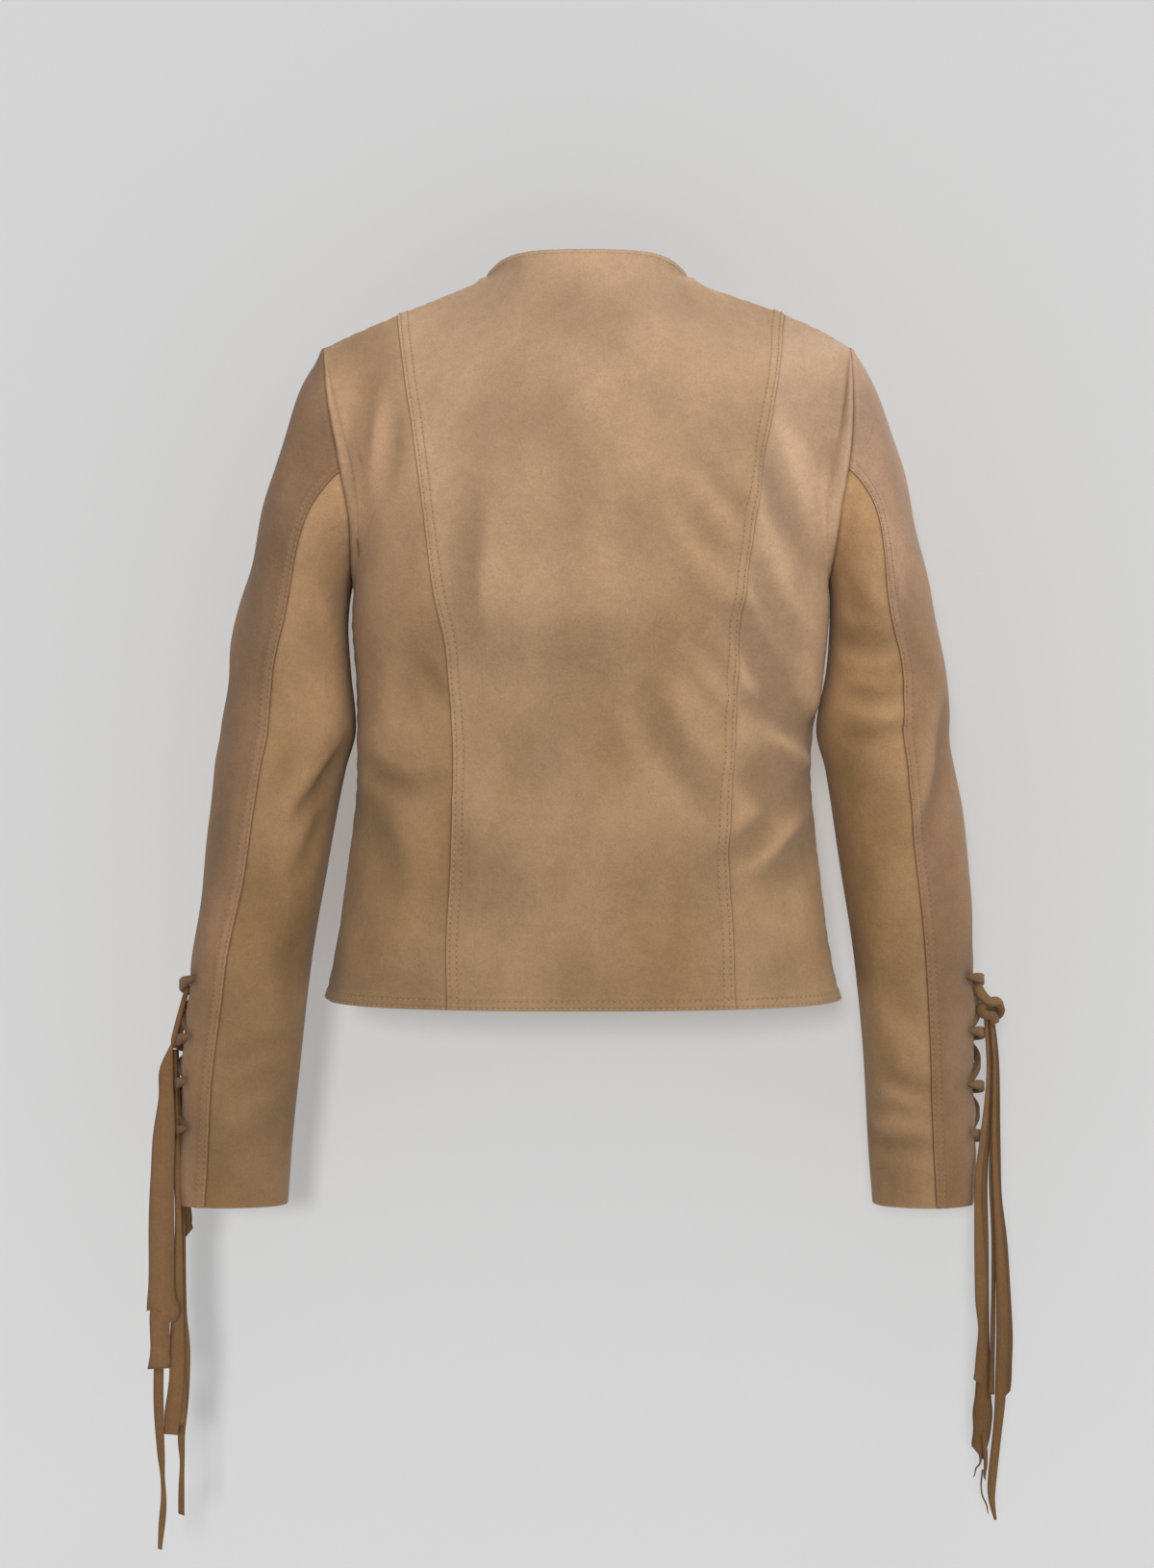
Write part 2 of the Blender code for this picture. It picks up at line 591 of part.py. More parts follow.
def make_sleeves(collection):
    """Round the armhole the sleeve pieces have the columns of the body, and further down
    those columns drift to even places round the arm and to the two edges of the vent."""
    rows = arm_rows()
    start = vent_row(rows)
    open_by = np.clip(rows - rows[start], 0, None)
    wide = VENT_NARROW + (VENT_WIDE - VENT_NARROW) * open_by / open_by.max()
    low, high = (VENT_TURN - wide)[:, None], (VENT_TURN + wide)[:, None]
    drift = smoothstep(0, 1, rows)[:, None]
    before, behind = ARM_BEFORE[0], ARM_BEHIND[0] - 1
    first, last = spaced((0, 1), (before,))[None, :], spaced((0, 1), (behind,))[None, :]
    front = FRONT_SEAM - 1
    for hand, side in ((-1, "left"), (1, "right")):
        seam = seam_turns(hand, rows)[:, None]
        armhole = spaced((seam[0, 0], 0.5, FRONT_SEAM), (ARM_BEHIND[1], ARM_BEFORE[1]))[None, :]
        even = spaced((0, 1), (ARM_BEHIND[1] + ARM_BEFORE[1],))[None, :]
        turns = (1 - drift) * armhole + drift * (seam + (FRONT_SEAM - seam) * even)
        sleeve_piece("under_sleeve_" + side, hand, turns, rows, SUEDE_UNDER, collection)
        armhole = spaced((front, 0, seam[0, 0]), (ARM_BEFORE[0], ARM_BEHIND[0]))[None, :]
        halves = [front + (low - front) * first, high + (seam - high) * last]
        turns = (1 - drift) * armhole + drift * np.concatenate(halves, axis=1)
        sleeve_piece(
            "top_sleeve_" + side,
            hand,
            turns,
            rows,
            SUEDE_SLEEVE,
            collection,
            open_cell=lambda row, column: row >= start and column == before,
        )


def ribbon_mesh(name, path, across, widths, thick):
    """A flat strip of four sides along a path, closed at both ends."""
    along = unit(np.gradient(path, axis=0))
    face = unit(np.cross(along, across))
    side = unit(np.cross(face, along))
    points = []
    for centre, wide, out, half in zip(path, side, face, widths / 2):
        for a, b in ((-1, -1), (1, -1), (1, 1), (-1, 1)):
            points.append(tuple((centre + wide * half * a + out * thick / 2 * b) * MM))
    faces = [(3, 2, 1, 0)]
    for k in range(len(path) - 1):
        for c in range(4):
            n = (c + 1) % 4
            faces.append((4 * k + c, 4 * k + n, 4 * k + 4 + n, 4 * k + 4 + c))
    end = 4 * (len(path) - 1)
    faces.append((end, end + 1, end + 2, end + 3))
    mesh = bpy.data.meshes.new(name)
    mesh.from_pydata(points, [], faces)
    mesh.validate()
    return mesh


def rows_at(height):
    """The place along a sleeve of a height below the arm line, on the outside of the arm."""
    start = ARM_LINE + ARM_TILT
    return 1 + (height - start) / (CUFF - start)


def make_laces(collection):
    for hand, side in ((-1, "left"), (1, "right")):
        path = []
        for k in range(2 * LACE_LOOPS):
            for j in range(LACE_STEPS):
                t = j / LACE_STEPS
                ends = (LACE_REACH, -LACE_REACH) if k % 2 == 0 else (-LACE_REACH, LACE_REACH)
                turns = VENT_TURN + ends[0] + (ends[1] - ends[0]) * t
                height = VENT_TOP - LACE_BELOW - LACE_PITCH / 2 * (k + t)
                s = rows_at(height)
                on = sleeve(hand, turns, s)
                out = unit(on - sleeve(hand, turns + 0.5, s)) * np.array([1, 1, 0])
                path.append(on + out * (LACE_LIFT + LACE_BOW * math.sin(math.pi * t)))
        path = np.array(path)
        across = np.tile([0.0, 0.0, 1.0], (len(path), 1))
        widths = np.full(len(path), LACE_WIDTH)
        mesh = ribbon_mesh("lace_" + side, path, across, widths, LACE_THICK)
        add_object("lace_" + side, mesh, SUEDE_FRINGE, collection)


def strip_path(rows):
    """A smooth path and width through the rows of one strip."""
    table = [(k, *row) for k, row in enumerate(rows)]
    at = spaced((0, len(rows) - 1), (STRIP_STEPS,))
    values = np.stack([eased(table, column, at) for column in (1, 2, 3, 4)], axis=-1)
    return values[:, :3], values[:, 3]


def make_tassels(collection, cutters):
    sides = (("left", KNOT_LEFT, STRIPS_LEFT), ("right", KNOT_RIGHT, STRIPS_RIGHT))
    for side, knot, strips in sides:
        name = "tassel_" + side
        bpy.ops.mesh.primitive_ico_sphere_add(subdivisions=2, radius=KNOT_RADIUS * MM)
        head = bpy.context.object
        for vertex in head.data.vertices:
            for axis in range(3):
                vertex.co[axis] = vertex.co[axis] * KNOT_SHAPE[axis] + knot[axis] * MM
        mesh = head.data
        bpy.data.objects.remove(head)
        mesh.name = name
        piece = add_object(name, mesh, SUEDE_FRINGE, collection)
        for number, rows in enumerate(strips):
            path, widths = strip_path(rows)
            across = np.tile([1.0, STRIP_LEAN * (number - 2), 0.0], (len(path), 1))
            strip_name = "strip_" + side + "_" + str(number)
            strip = bpy.data.objects.new(
                strip_name, ribbon_mesh(strip_name, path, across, widths, STRIP_THICK)
            )
            cutters.objects.link(strip)
            strip.hide_render = True
            strip.display_type = "WIRE"
            join = piece.modifiers.new(strip_name, "BOOLEAN")
            join.operation = "UNION"
            join.object = strip


def main():
    for leftover in list(bpy.data.objects):
        bpy.data.objects.remove(leftover)
    jacket = bpy.data.collections.new("suede_jacket")
    cutters = bpy.data.collections.new("fringe_strips")
    bpy.context.scene.collection.children.link(jacket)
    bpy.context.scene.collection.children.link(cutters)
    make_back(jacket)
    make_fronts(jacket)
    make_sleeves(jacket)
    make_laces(jacket)
    make_tassels(jacket, cutters)


main()
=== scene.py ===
# %% [markdown]
# # A suede jacket, seen from behind
# This script dresses a imported CAD model. The model gives every piece its place and size, in
# metres, and this script gives it folds, seams, stitches and suede. Loading the model comes
# first, because everything below is measured from it.

import math

import bpy
import numpy as np
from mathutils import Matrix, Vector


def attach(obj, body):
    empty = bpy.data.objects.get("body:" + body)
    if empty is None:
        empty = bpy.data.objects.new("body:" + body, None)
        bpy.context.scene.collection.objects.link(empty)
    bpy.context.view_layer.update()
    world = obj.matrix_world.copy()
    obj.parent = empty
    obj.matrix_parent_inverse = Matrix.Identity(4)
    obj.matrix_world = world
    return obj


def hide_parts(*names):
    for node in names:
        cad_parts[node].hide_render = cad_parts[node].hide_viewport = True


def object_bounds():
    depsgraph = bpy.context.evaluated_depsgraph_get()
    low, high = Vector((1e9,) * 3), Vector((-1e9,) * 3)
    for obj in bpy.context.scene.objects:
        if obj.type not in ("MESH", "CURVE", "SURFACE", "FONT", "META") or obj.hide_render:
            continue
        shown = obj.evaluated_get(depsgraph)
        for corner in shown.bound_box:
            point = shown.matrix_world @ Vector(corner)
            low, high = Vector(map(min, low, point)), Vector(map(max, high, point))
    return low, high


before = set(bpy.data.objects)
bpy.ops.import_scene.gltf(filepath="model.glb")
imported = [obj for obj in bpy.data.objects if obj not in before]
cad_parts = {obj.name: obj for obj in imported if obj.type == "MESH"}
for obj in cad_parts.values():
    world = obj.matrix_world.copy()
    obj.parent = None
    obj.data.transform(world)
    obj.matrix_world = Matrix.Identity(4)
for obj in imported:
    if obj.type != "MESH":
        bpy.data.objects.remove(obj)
CAD_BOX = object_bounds()
print("pieces of the CAD model:", len(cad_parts))
print("CAD box in metres:", [[round(c, 3) for c in corner] for corner in CAD_BOX])

# %% [markdown]
# ## Camera
# The photograph looks straight at the middle of the back from a few metres away. A long lens
# keeps the sides of the jacket nearly parallel, as there. A level camera needs no shift.

# %% Place the camera
CAMERA_PLACE = (-0.0071, -2.8, -0.378)
CAMERA_LENS = 87.05

camera_data = bpy.data.cameras.new("camera")
camera_data.lens = CAMERA_LENS
camera_data.sensor_width = 36.0
camera_data.clip_end = 50.0
camera = bpy.data.objects.new("camera", camera_data)
camera.location = CAMERA_PLACE
camera.rotation_euler = (math.radians(90), 0, 0)
bpy.context.scene.collection.objects.link(camera)
bpy.context.scene.camera = camera
bpy.context.scene.view_settings.view_transform = "Standard"
print("camera", CAMERA_PLACE, "lens", CAMERA_LENS)

# %% [markdown]
# ## Studio
# The jacket hangs in front of a pale grey sheet, above a pale floor. The sheet behind is seen
# from the front only and throws nothing back, so that the jacket can be looked at from every
# side. It glows a little by itself, which keeps it even and its shadows faint, as they are in
# the photograph. One soft light hangs high on the right and shapes the folds. A second one
# beside the camera, a little to the left, draws the thin shadow on the right and below. A
# third one, behind the jacket, lights its hidden front.

# %% Floor and backdrop
BACKDROP_BEHIND, BACKDROP_TOP = 0.030, 4.0
FLOOR_BELOW, STAGE_HALF = 0.056, 5.0
FLOOR_GREY, BACKDROP_GREY = (0.60, 0.60, 0.60), (0.50, 0.50, 0.50)
GLOW = 0.212


def stage_material(name, colour, glow, one_sided):
    """Plain paint that glows a little, clear from behind where it is one-sided."""
    material = bpy.data.materials.new(name)
    material.use_nodes = True
    nodes, links = material.node_tree.nodes, material.node_tree.links
    shader = nodes["Principled BSDF"]
    shader.inputs["Base Color"].default_value = (*colour, 1)
    shader.inputs["Roughness"].default_value = 1.0
    shader.inputs["Specular IOR Level"].default_value = 0.0
    shader.inputs["Emission Color"].default_value = (1, 1, 1, 1)
    shader.inputs["Emission Strength"].default_value = glow
    if one_sided:
        clear = nodes.new("ShaderNodeBsdfTransparent")
        side = nodes.new("ShaderNodeNewGeometry")
        mix = nodes.new("ShaderNodeMixShader")
        links.new(side.outputs["Backfacing"], mix.inputs["Fac"])
        links.new(shader.outputs[0], mix.inputs[1])
        links.new(clear.outputs[0], mix.inputs[2])
        links.new(mix.outputs[0], nodes["Material Output"].inputs["Surface"])
    return material


def stage_sheet(name, corners, material):
    mesh = bpy.data.meshes.new(name)
    mesh.from_pydata(corners, [], [(0, 1, 2, 3)])
    mesh.materials.append(material)
    sheet = bpy.data.objects.new(name, mesh)
    bpy.context.scene.collection.objects.link(sheet)
    return sheet


wall_y = CAD_BOX[1][1] + BACKDROP_BEHIND
floor_z = CAD_BOX[0][2] - FLOOR_BELOW
left, right = -STAGE_HALF, STAGE_HALF
stage_sheet(
    "floor",
    [(left, left, floor_z), (right, left, floor_z), (right, right, floor_z), (left, right, floor_z)],
    stage_material("floor_paint", FLOOR_GREY, 0.0, False),
)
backdrop = stage_sheet(
    "backdrop",
    [(left, wall_y, floor_z), (right, wall_y, floor_z)]
    + [(right, wall_y, BACKDROP_TOP), (left, wall_y, BACKDROP_TOP)],
    stage_material("backdrop_paint", BACKDROP_GREY, GLOW, True),
)
backdrop.visible_diffuse = False
backdrop.visible_glossy = False
backdrop.visible_shadow = False
print("stage: floor at", round(floor_z, 3), "backdrop at", round(wall_y, 3))

# %% World and lights
WORLD_STRENGTH, WORLD_COLOUR = 0.42, (0.98, 0.99, 1.0, 1)
# name, direction the light comes from, strength, softness in degrees
SUNS = (
    ("high_right", (0.42, -0.75, 1.0), 1.60, 24),
    ("near_camera", (-0.09, -1.0, 0.11), 1.25, 8),
    ("behind", (0.3, 1.0, 0.8), 1.80, 40),
)

world = bpy.data.worlds.new("studio")
bpy.context.scene.world = world
world.use_nodes = True
sky = world.node_tree.nodes["Background"]
sky.inputs["Color"].default_value = WORLD_COLOUR
sky.inputs["Strength"].default_value = WORLD_STRENGTH
for name, come_from, strength, softness in SUNS:
    data = bpy.data.lights.new(name, "SUN")
    data.energy = strength
    data.angle = math.radians(softness)
    lamp = bpy.data.objects.new(name, data)
    x, y, z = come_from
    lamp.rotation_euler = (math.atan2(math.hypot(x, y), z), 0, math.atan2(y, x) + math.pi / 2)
    bpy.context.scene.collection.objects.link(lamp)
    if name == "high_right":
        # this light leaves out the sheet behind, where it would throw a shadow to the left
        unlit = bpy.data.collections.new("unlit_by_high_right")
        unlit.objects.link(backdrop)
        lamp.light_linking.receiver_collection = unlit
        unlit.collection_objects[0].light_linking.link_state = "EXCLUDE"
print(len(SUNS), "lights, world at", WORLD_STRENGTH)

# %% [markdown]
# ## The cut of the jacket
# The CAD solids come from a few tables of heights, widths and depths. The same tables are kept
# here in millimetres, so that each panel can be made again with many more points and still lie
# exactly on its solid. The back faces -Y, and the wearer's left is at -X.

# %% Tables of the cut
MM = 0.001
WALL = 1.4
BACK, FRONT = -1, 1
# the small step, in u or w, by which the slope of a surface is measured
STEP = 0.002
# how often a span is halved when a seam is looked for
HALVINGS = 40

# height, centre, half width, depth behind, depth in front
BODY = (
    (-545, -3.0, 191.0, 100, 105),
    (-520, -3.0, 186.0, 99, 104),
    (-480, -2.5, 178.5, 97, 102),
    (-410, -2.0, 170.0, 90, 97),
    (-367, -2.0, 167.0, 87, 95),
    (-310, 0.5, 170.0, 92, 104),
    (-253, 2.5, 175.5, 104, 117),
    (-228, 3.0, 176.0, 108, 120),
    (-200, 4.0, 177.0, 110, 121),
)
# height, sideways set of the shoulders
SET = ((-228, 3.0), (-185, 5.5), (-140, 5.0), (-90, 2.0), (-55, 0.5), (20, 0.0))
ROUNDNESS = 2.35
HEM_CENTRE, HEM_SIDE = -540.0, -536.0
BUST_LINE, BUST_DIP = -200.0, 65.0

NECK_HALF, NECK_BEHIND, NECK_BEFORE = 73.5, 57.0, 80.0
NECK_SIDE, NECK_RISE, NECK_DROP = -4.0, 13.0, 82.0
SHOULDER_HALF, SHOULDER_DROP, SHOULDER_FORWARD = 194.0, 51.0, 4.0
# how far a shoulder seam arches, times 27/4 to bring the top of its curve to one
LEFT_ARCH, RIGHT_ARCH = 8.1, 30.4
NECK_AT, SHOULDER_AT = 0.25, 0.62
# place from centre to side, rise forward and rise upward of the cloth at its top edge
TOP_LEAN = ((0.0, 0.62, 0.78), (0.25, 0.80, 0.60), (0.45, 0.80, 0.60), (0.62, 0.62, 0.78))

ARMHOLE_MIDDLE, ARMHOLE_HALF = -141.5, 86.5
ARMHOLE_DEPTH, ARMHOLE_SCOOP, ARM_SOFTNESS, CORNER_TURN = 58.0, 8.0, 0.75, 0.7
# height, half width between the armholes
ARMHOLE = ((-228, 176.0), (-190, 178.0), (-147, 185.0), (-97, 191.5), (-55, 194.0))

# height, left princess seam, right princess seam
PRINCESS = (
    (-545, -100.0, 106.0),
    (-500, -100.5, 105.0),
    (-427, -98.5, 102.5),
    (-360, -96.0, 105.5),
    (-285, -101.5, 109.0),
    (-245, -109.0, 113.0),
    (-200, -115.0, 119.0),
    (-150, -121.0, 127.0),
    (-85, -132.0, 138.5),
    (-30, -140.0, 146.0),
)
# height, left middle, left half width, right middle, right half width, middle and half depth
SLEEVE = (
    (-694, -263.0, 39.8, 251.5, 37.4, 34, 41),
    (-651, -261.5, 41.6, 249.5, 39.2, 29, 42),
    (-580, -256.0, 43.8, 247.5, 41.6, 20, 45),
    (-509, -248.5, 44.8, 243.0, 44.4, 12, 48),
    (-438, -237.0, 45.6, 234.0, 46.5, 7, 51),
    (-367, -226.0, 48.0, 224.5, 48.0, 4, 55),
    (-338, -220.0, 49.5, 219.5, 49.8, 3, 57),
    (-296, -219.0, 45.0, 220.5, 43.7, 2, 59),
    (-245, -215.0, 38.0, 217.0, 37.0, 1, 61),
    (-225, -213.0, 36.0, 215.0, 35.0, 0, 61),
)
CUFF, ARM_LINE, ARM_TILT = -691.0, -250.0, 20.0
CAP_FULLNESS = 0.6
CLEAR_HIGH, CLEAR_LOW = -0.8, 1.6
# height, left and right back sleeve seam, in turns from the outside of the arm
BACK_SEAM = (
    (-700, 0.169, 0.221),
    (-560, 0.190, 0.234),
    (-435, 0.211, 0.230),
    (-305, 0.218, 0.217),
    (-250, 0.244, 0.243),
    (-150, 0.270, 0.266),
)
FRONT_SEAM = 0.655
VENT_TOP, VENT_TURN, VENT_NARROW, VENT_WIDE = -520.0, -0.022, 0.006, 0.020
print("tables:", len(BODY), "body rows,", len(SLEEVE), "sleeve rows")

# %% [markdown]
# Each table becomes a smooth curve. A cubic whose slope is zero at every turning point never
# swings past the numbers in the table, which a plain spline would do.

# %% Smooth curves through a table


def hermite(start, end, leave, arrive, t):
    """A cubic from start to end with the given directions at its ends."""
    square, cube = t * t, t * t * t
    return (
        (2 * cube - 3 * square + 1) * start
        + (cube - 2 * square + t) * leave
        + (3 * square - 2 * cube) * end
        + (cube - square) * arrive
    )


def eased(table, column, at):
    """One column of a table at the heights asked, on a smooth curve that never overshoots."""
    knots = np.array([row[0] for row in table], float)
    values = np.array([row[column] for row in table], float)
    order = np.argsort(knots)
    knots, values = knots[order], values[order]
    step = np.diff(knots)
    rise = np.diff(values) / step
    slope = np.concatenate(([rise[0]], np.zeros(len(rise) - 1), [rise[-1]]))
    for i in range(1, len(rise)):
        if rise[i - 1] * rise[i] > 0:
            slope[i] = 2 * rise[i - 1] * rise[i] / (rise[i - 1] + rise[i])
    at = np.clip(at, knots[0], knots[-1])
    k = np.clip(np.searchsorted(knots, at) - 1, 0, len(step) - 1)
    t = (at - knots[k]) / step[k]
    return hermite(values[k], values[k + 1], slope[k] * step[k], slope[k + 1] * step[k], t)


def length_of(vectors):
    return np.sqrt((vectors**2).sum(axis=-1, keepdims=True))


def unit(vectors):
    return vectors / np.maximum(length_of(vectors), 1e-9)


def smoothstep(low, high, at):
    t = np.clip((at - low) / (high - low), 0, 1)
    return t * t * (3 - 2 * t)


def bell(at):
    return np.exp(-(at**2))


print("chest half width", round(float(eased(BODY, 2, -240.0)), 1), "mm")

# %% [markdown]
# ## The surface of the body and of the sleeves
# Below the bust line the body is a ring at each height. Above it, the cloth bends over to meet
# its top edge: the neck, the shoulder seam and the armhole. A sleeve leaves the armhole and
# settles onto rings of its own. These are formulas, so any point of the cloth can be asked for.

# %% The body


def body_ring(face, u, z):
    """A point of the body at height z. u runs from 0 at the centre to 1 or -1 at a side seam."""
    turn = np.abs(u) * math.pi / 2
    across = np.clip(np.sin(turn), 0, 1) ** (2 / ROUNDNESS)
    deep = np.clip(np.cos(turn), 0, 1) ** (2 / ROUNDNESS)
    depth = eased(BODY, 3 if face == BACK else 4, z)
    x = eased(BODY, 1, z) + np.sign(u) * eased(BODY, 2, z) * across
    return np.stack([x, face * depth * deep, z + 0 * x], axis=-1)


def top_edge(face, u):
    """The neck edge, the shoulder seam and the armhole edge, one after another along u."""
    hand = np.where(np.asarray(u) < 0, -1.0, 1.0)
    place = np.abs(u)
    turn = np.clip(place / NECK_AT, 0, 1) * math.pi / 2
    behind = face < 0
    neck_y = face * np.where(behind, NECK_BEHIND, NECK_BEFORE) * np.cos(turn)
    rise = NECK_RISE * (1 - np.sin(turn) ** 6)
    drop = -NECK_DROP * np.clip(np.cos(turn), 0, 1) ** 1.4
    neck_z = NECK_SIDE + np.where(behind, rise, drop)
    along = np.clip((place - NECK_AT) / (SHOULDER_AT - NECK_AT), 0, 1)
    ridge_x = NECK_HALF + (SHOULDER_HALF - NECK_HALF) * along
    arch = np.where(hand < 0, LEFT_ARCH, RIGHT_ARCH) * along**2 * (1 - along)
    round_arm = np.clip((place - SHOULDER_AT) / (1 - SHOULDER_AT), 0, 1) * math.pi
    arm_z = ARMHOLE_MIDDLE + ARMHOLE_HALF * np.cos(round_arm)
    arm_y = SHOULDER_FORWARD * (1 + np.cos(round_arm)) / 2
    arm_y = arm_y + face * ARMHOLE_DEPTH * np.sin(round_arm)
    scoop = np.where(behind, 0.0, ARMHOLE_SCOOP) * np.sin(round_arm) ** 2
    arm_x = eased(ARMHOLE, 1, arm_z) - scoop
    at_neck, at_ridge = place <= NECK_AT, place <= SHOULDER_AT
    x = np.where(at_neck, NECK_HALF * np.sin(turn), np.where(at_ridge, ridge_x, arm_x))
    y = np.where(at_neck, neck_y, np.where(at_ridge, SHOULDER_FORWARD * along, arm_y))
    ridge_z = NECK_SIDE - SHOULDER_DROP * along + arch
    z = np.where(at_neck, neck_z, np.where(at_ridge, ridge_z, arm_z))
    return np.stack([hand * x + eased(SET, 1, z), y, z], axis=-1)


def body(face, u, w):
    """The outer surface of the body. w is 0 at the hem, 1 at the bust line, 2 at the top edge."""
    u, w = np.broadcast_arrays(np.asarray(u, float), np.asarray(w, float))
    line = BUST_LINE - BUST_DIP * u * u
    hem = HEM_CENTRE + (HEM_SIDE - HEM_CENTRE) * u * u
    below = body_ring(face, u, hem + (line - hem) * np.clip(w, 0, 1))
    base = body_ring(face, u, line)
    upward = (body_ring(face, u, line + 1) - body_ring(face, u, line - 1)) / 2
    top = top_edge(face, u)
    span = length_of(top - base)
    chord = unit(top - base)
    forward = -face * eased(TOP_LEAN, 1, np.abs(u))
    arrive = unit(np.stack([chord[..., 0], forward, eased(TOP_LEAN, 2, np.abs(u))], axis=-1))
    hand = np.where(u < 0, -1.0, 1.0)
    round_arm = np.clip((np.abs(u) - SHOULDER_AT) / (1 - SHOULDER_AT), 0, 1) * math.pi
    high, beside = np.cos(round_arm), np.sin(round_arm)
    sideways = hand * (0.25 + 0.65 * beside)
    inwards = -face * (0.6 * np.clip(high, 0, 1) + 0.35 * beside)
    upwards = 0.75 - 0.4 * beside + 0.2 * np.clip(-high, 0, 1)
    at_arm = unit(np.stack([sideways, inwards, upwards], axis=-1)) * ARM_SOFTNESS
    arrive = arrive + (at_arm - arrive) * smoothstep(0, CORNER_TURN, round_arm)[..., None]
    above = hermite(base, top, upward * span, arrive * span, np.clip(w - 1, 0, 1)[..., None])
    return np.where((w <= 1)[..., None], below, above)


def princess_u(hand, w):
    """Where a princess seam crosses each row of the back, found by halving."""
    low, high = np.full_like(w, 0.1), np.full_like(w, 0.9)
    for _ in range(HALVINGS):
        middle = (low + high) / 2
        at = body(BACK, hand * middle, w)
        beyond = hand * (at[..., 0] - eased(PRINCESS, 1 if hand < 0 else 2, at[..., 2])) > 0
        high = np.where(beyond, middle, high)
        low = np.where(beyond, low, middle)
    return middle


print("nape at", [round(float(c), 1) for c in body(BACK, 0.0, 2.0)])

# %% The sleeves


def arm_ring(hand, turn, z):
    """A point of a sleeve at height z, kept just clear of the body."""
    side = 1 if hand < 0 else 3
    x = eased(SLEEVE, side, z) + hand * eased(SLEEVE, side + 1, z) * np.cos(turn)
    y = eased(SLEEVE, 5, z) - eased(SLEEVE, 6, z) * np.sin(turn)
    depth = np.where(y < 0, eased(BODY, 3, z), eased(BODY, 4, z))
    inside = np.clip(1 - np.abs(y / depth) ** ROUNDNESS, 0, 1) ** (1 / ROUNDNESS)
    wall = hand * eased(BODY, 1, z) + eased(BODY, 2, z) * inside
    clearance = CLEAR_HIGH + (CLEAR_LOW - CLEAR_HIGH) * smoothstep(-296, -330, z)
    x = hand * np.where(z < -228, np.maximum(hand * x, wall + clearance), hand * x)
    return np.stack([x, y, z + 0 * x], axis=-1)


def sleeve(hand, turns, s):
    """The outer surface of a sleeve. turns: 0 outside, 0.25 behind, 0.5 inside, 0.75 before.
    s is 0 at the armhole, 1 at the arm line and 2 at the cuff."""
    turns, s = np.broadcast_arrays(np.asarray(turns, float), np.asarray(s, float))
    turn = 2 * math.pi * turns
    around = np.arccos(np.clip(np.cos(turn), -1, 1)) / math.pi
    place = hand * (SHOULDER_AT + (1 - SHOULDER_AT) * around)
    behind = (np.sin(turn) >= 0)[..., None]
    start = np.where(behind, top_edge(BACK, place), top_edge(FRONT, place))
    beside = np.sin(turn) ** 2
    outward = 0.42 + 0.30 * np.cos(turn) + 0.36 * beside
    leave = np.stack([hand * outward, -0.15 * np.sin(turn), -0.85 + 0.3 * beside], axis=-1)
    leave = unit(leave)
    line = ARM_LINE + ARM_TILT * np.cos(turn)
    first = arm_ring(hand, turn, line)
    downward = (arm_ring(hand, turn, line - 1) - arm_ring(hand, turn, line + 1)) / 2
    span = length_of(first - start)
    pull = span * (CAP_FULLNESS + (1 - CAP_FULLNESS) * beside)[..., None]
    cap = hermite(start, first, leave * pull, downward * span, np.clip(s, 0, 1)[..., None])
    arm = arm_ring(hand, turn, line + (CUFF - line) * np.clip(s - 1, 0, 1))
    return np.where((s <= 1)[..., None], cap, arm)


def surface_normals(surface, across, along, flip):
    """Unit normals of a smooth surface, the same for two pieces that meet along a seam."""
    near, far = np.clip(along - STEP, 0, 2), np.clip(along + STEP, 0, 2)
    by_across = surface(across + STEP, along) - surface(across - STEP, along)
    by_along = surface(across, far) - surface(across, near)
    return unit(np.cross(by_across, by_along)) * (-1 if flip else 1)


def body_normals(face, u, w):
    inside = np.clip(u, -1 + 2 * STEP, 1 - 2 * STEP)
    return surface_normals(lambda a, b: body(face, a, b), inside, w, face == FRONT)


def sleeve_normals(hand, turns, s):
    return surface_normals(lambda a, b: sleeve(hand, a, b), turns, s, hand < 0)


def seam_normals(face, u):
    """Normals shared by the pieces that meet along the shoulder seam and the armhole."""
    place = np.clip((np.abs(u) - SHOULDER_AT) / (1 - SHOULDER_AT), 0, 1)
    behind, before = body_normals(BACK, u, 2.0 + 0 * u), body_normals(FRONT, u, 2.0 + 0 * u)
    own = behind if face == BACK else before
    turns = place / 2 if face == BACK else 1 - place / 2
    left, right = sleeve_normals(-1, turns, 0 * u), sleeve_normals(1, turns, 0 * u)
    arm = np.where((u < 0)[..., None], left, right)
    at_ridge = (np.abs(u) <= SHOULDER_AT + STEP)[..., None]
    at_corner = (np.abs(np.abs(u) - SHOULDER_AT) <= STEP)[..., None]
    seam = np.where(at_ridge, behind + before, own + arm)
    seam = np.where(at_corner, behind + before + arm, seam)
    return np.where((np.abs(u) < NECK_AT - STEP)[..., None], own, unit(seam))


print("left cuff at", [round(float(c), 1) for c in sleeve(-1, 0.25, 2.0)])

# %% [markdown]
# ## Laying out a panel
# A panel is a grid of points. Near a seam the points stand closer, because the turned edge and
# its stitch grooves are only millimetres wide, and in the open cloth they stand further apart.
# The places are found by true length along the cloth, so that the grid is even on the form.

# %% Rows and columns of points
PITCH = 3.4
EDGE_STEPS = (0, 0.35, 0.8, 1.4, 2.1, 3.0, 3.9, 5.1, 6.4, 7.6, 8.5, 9.5, 11.2, 13.4)
DENSE = 96


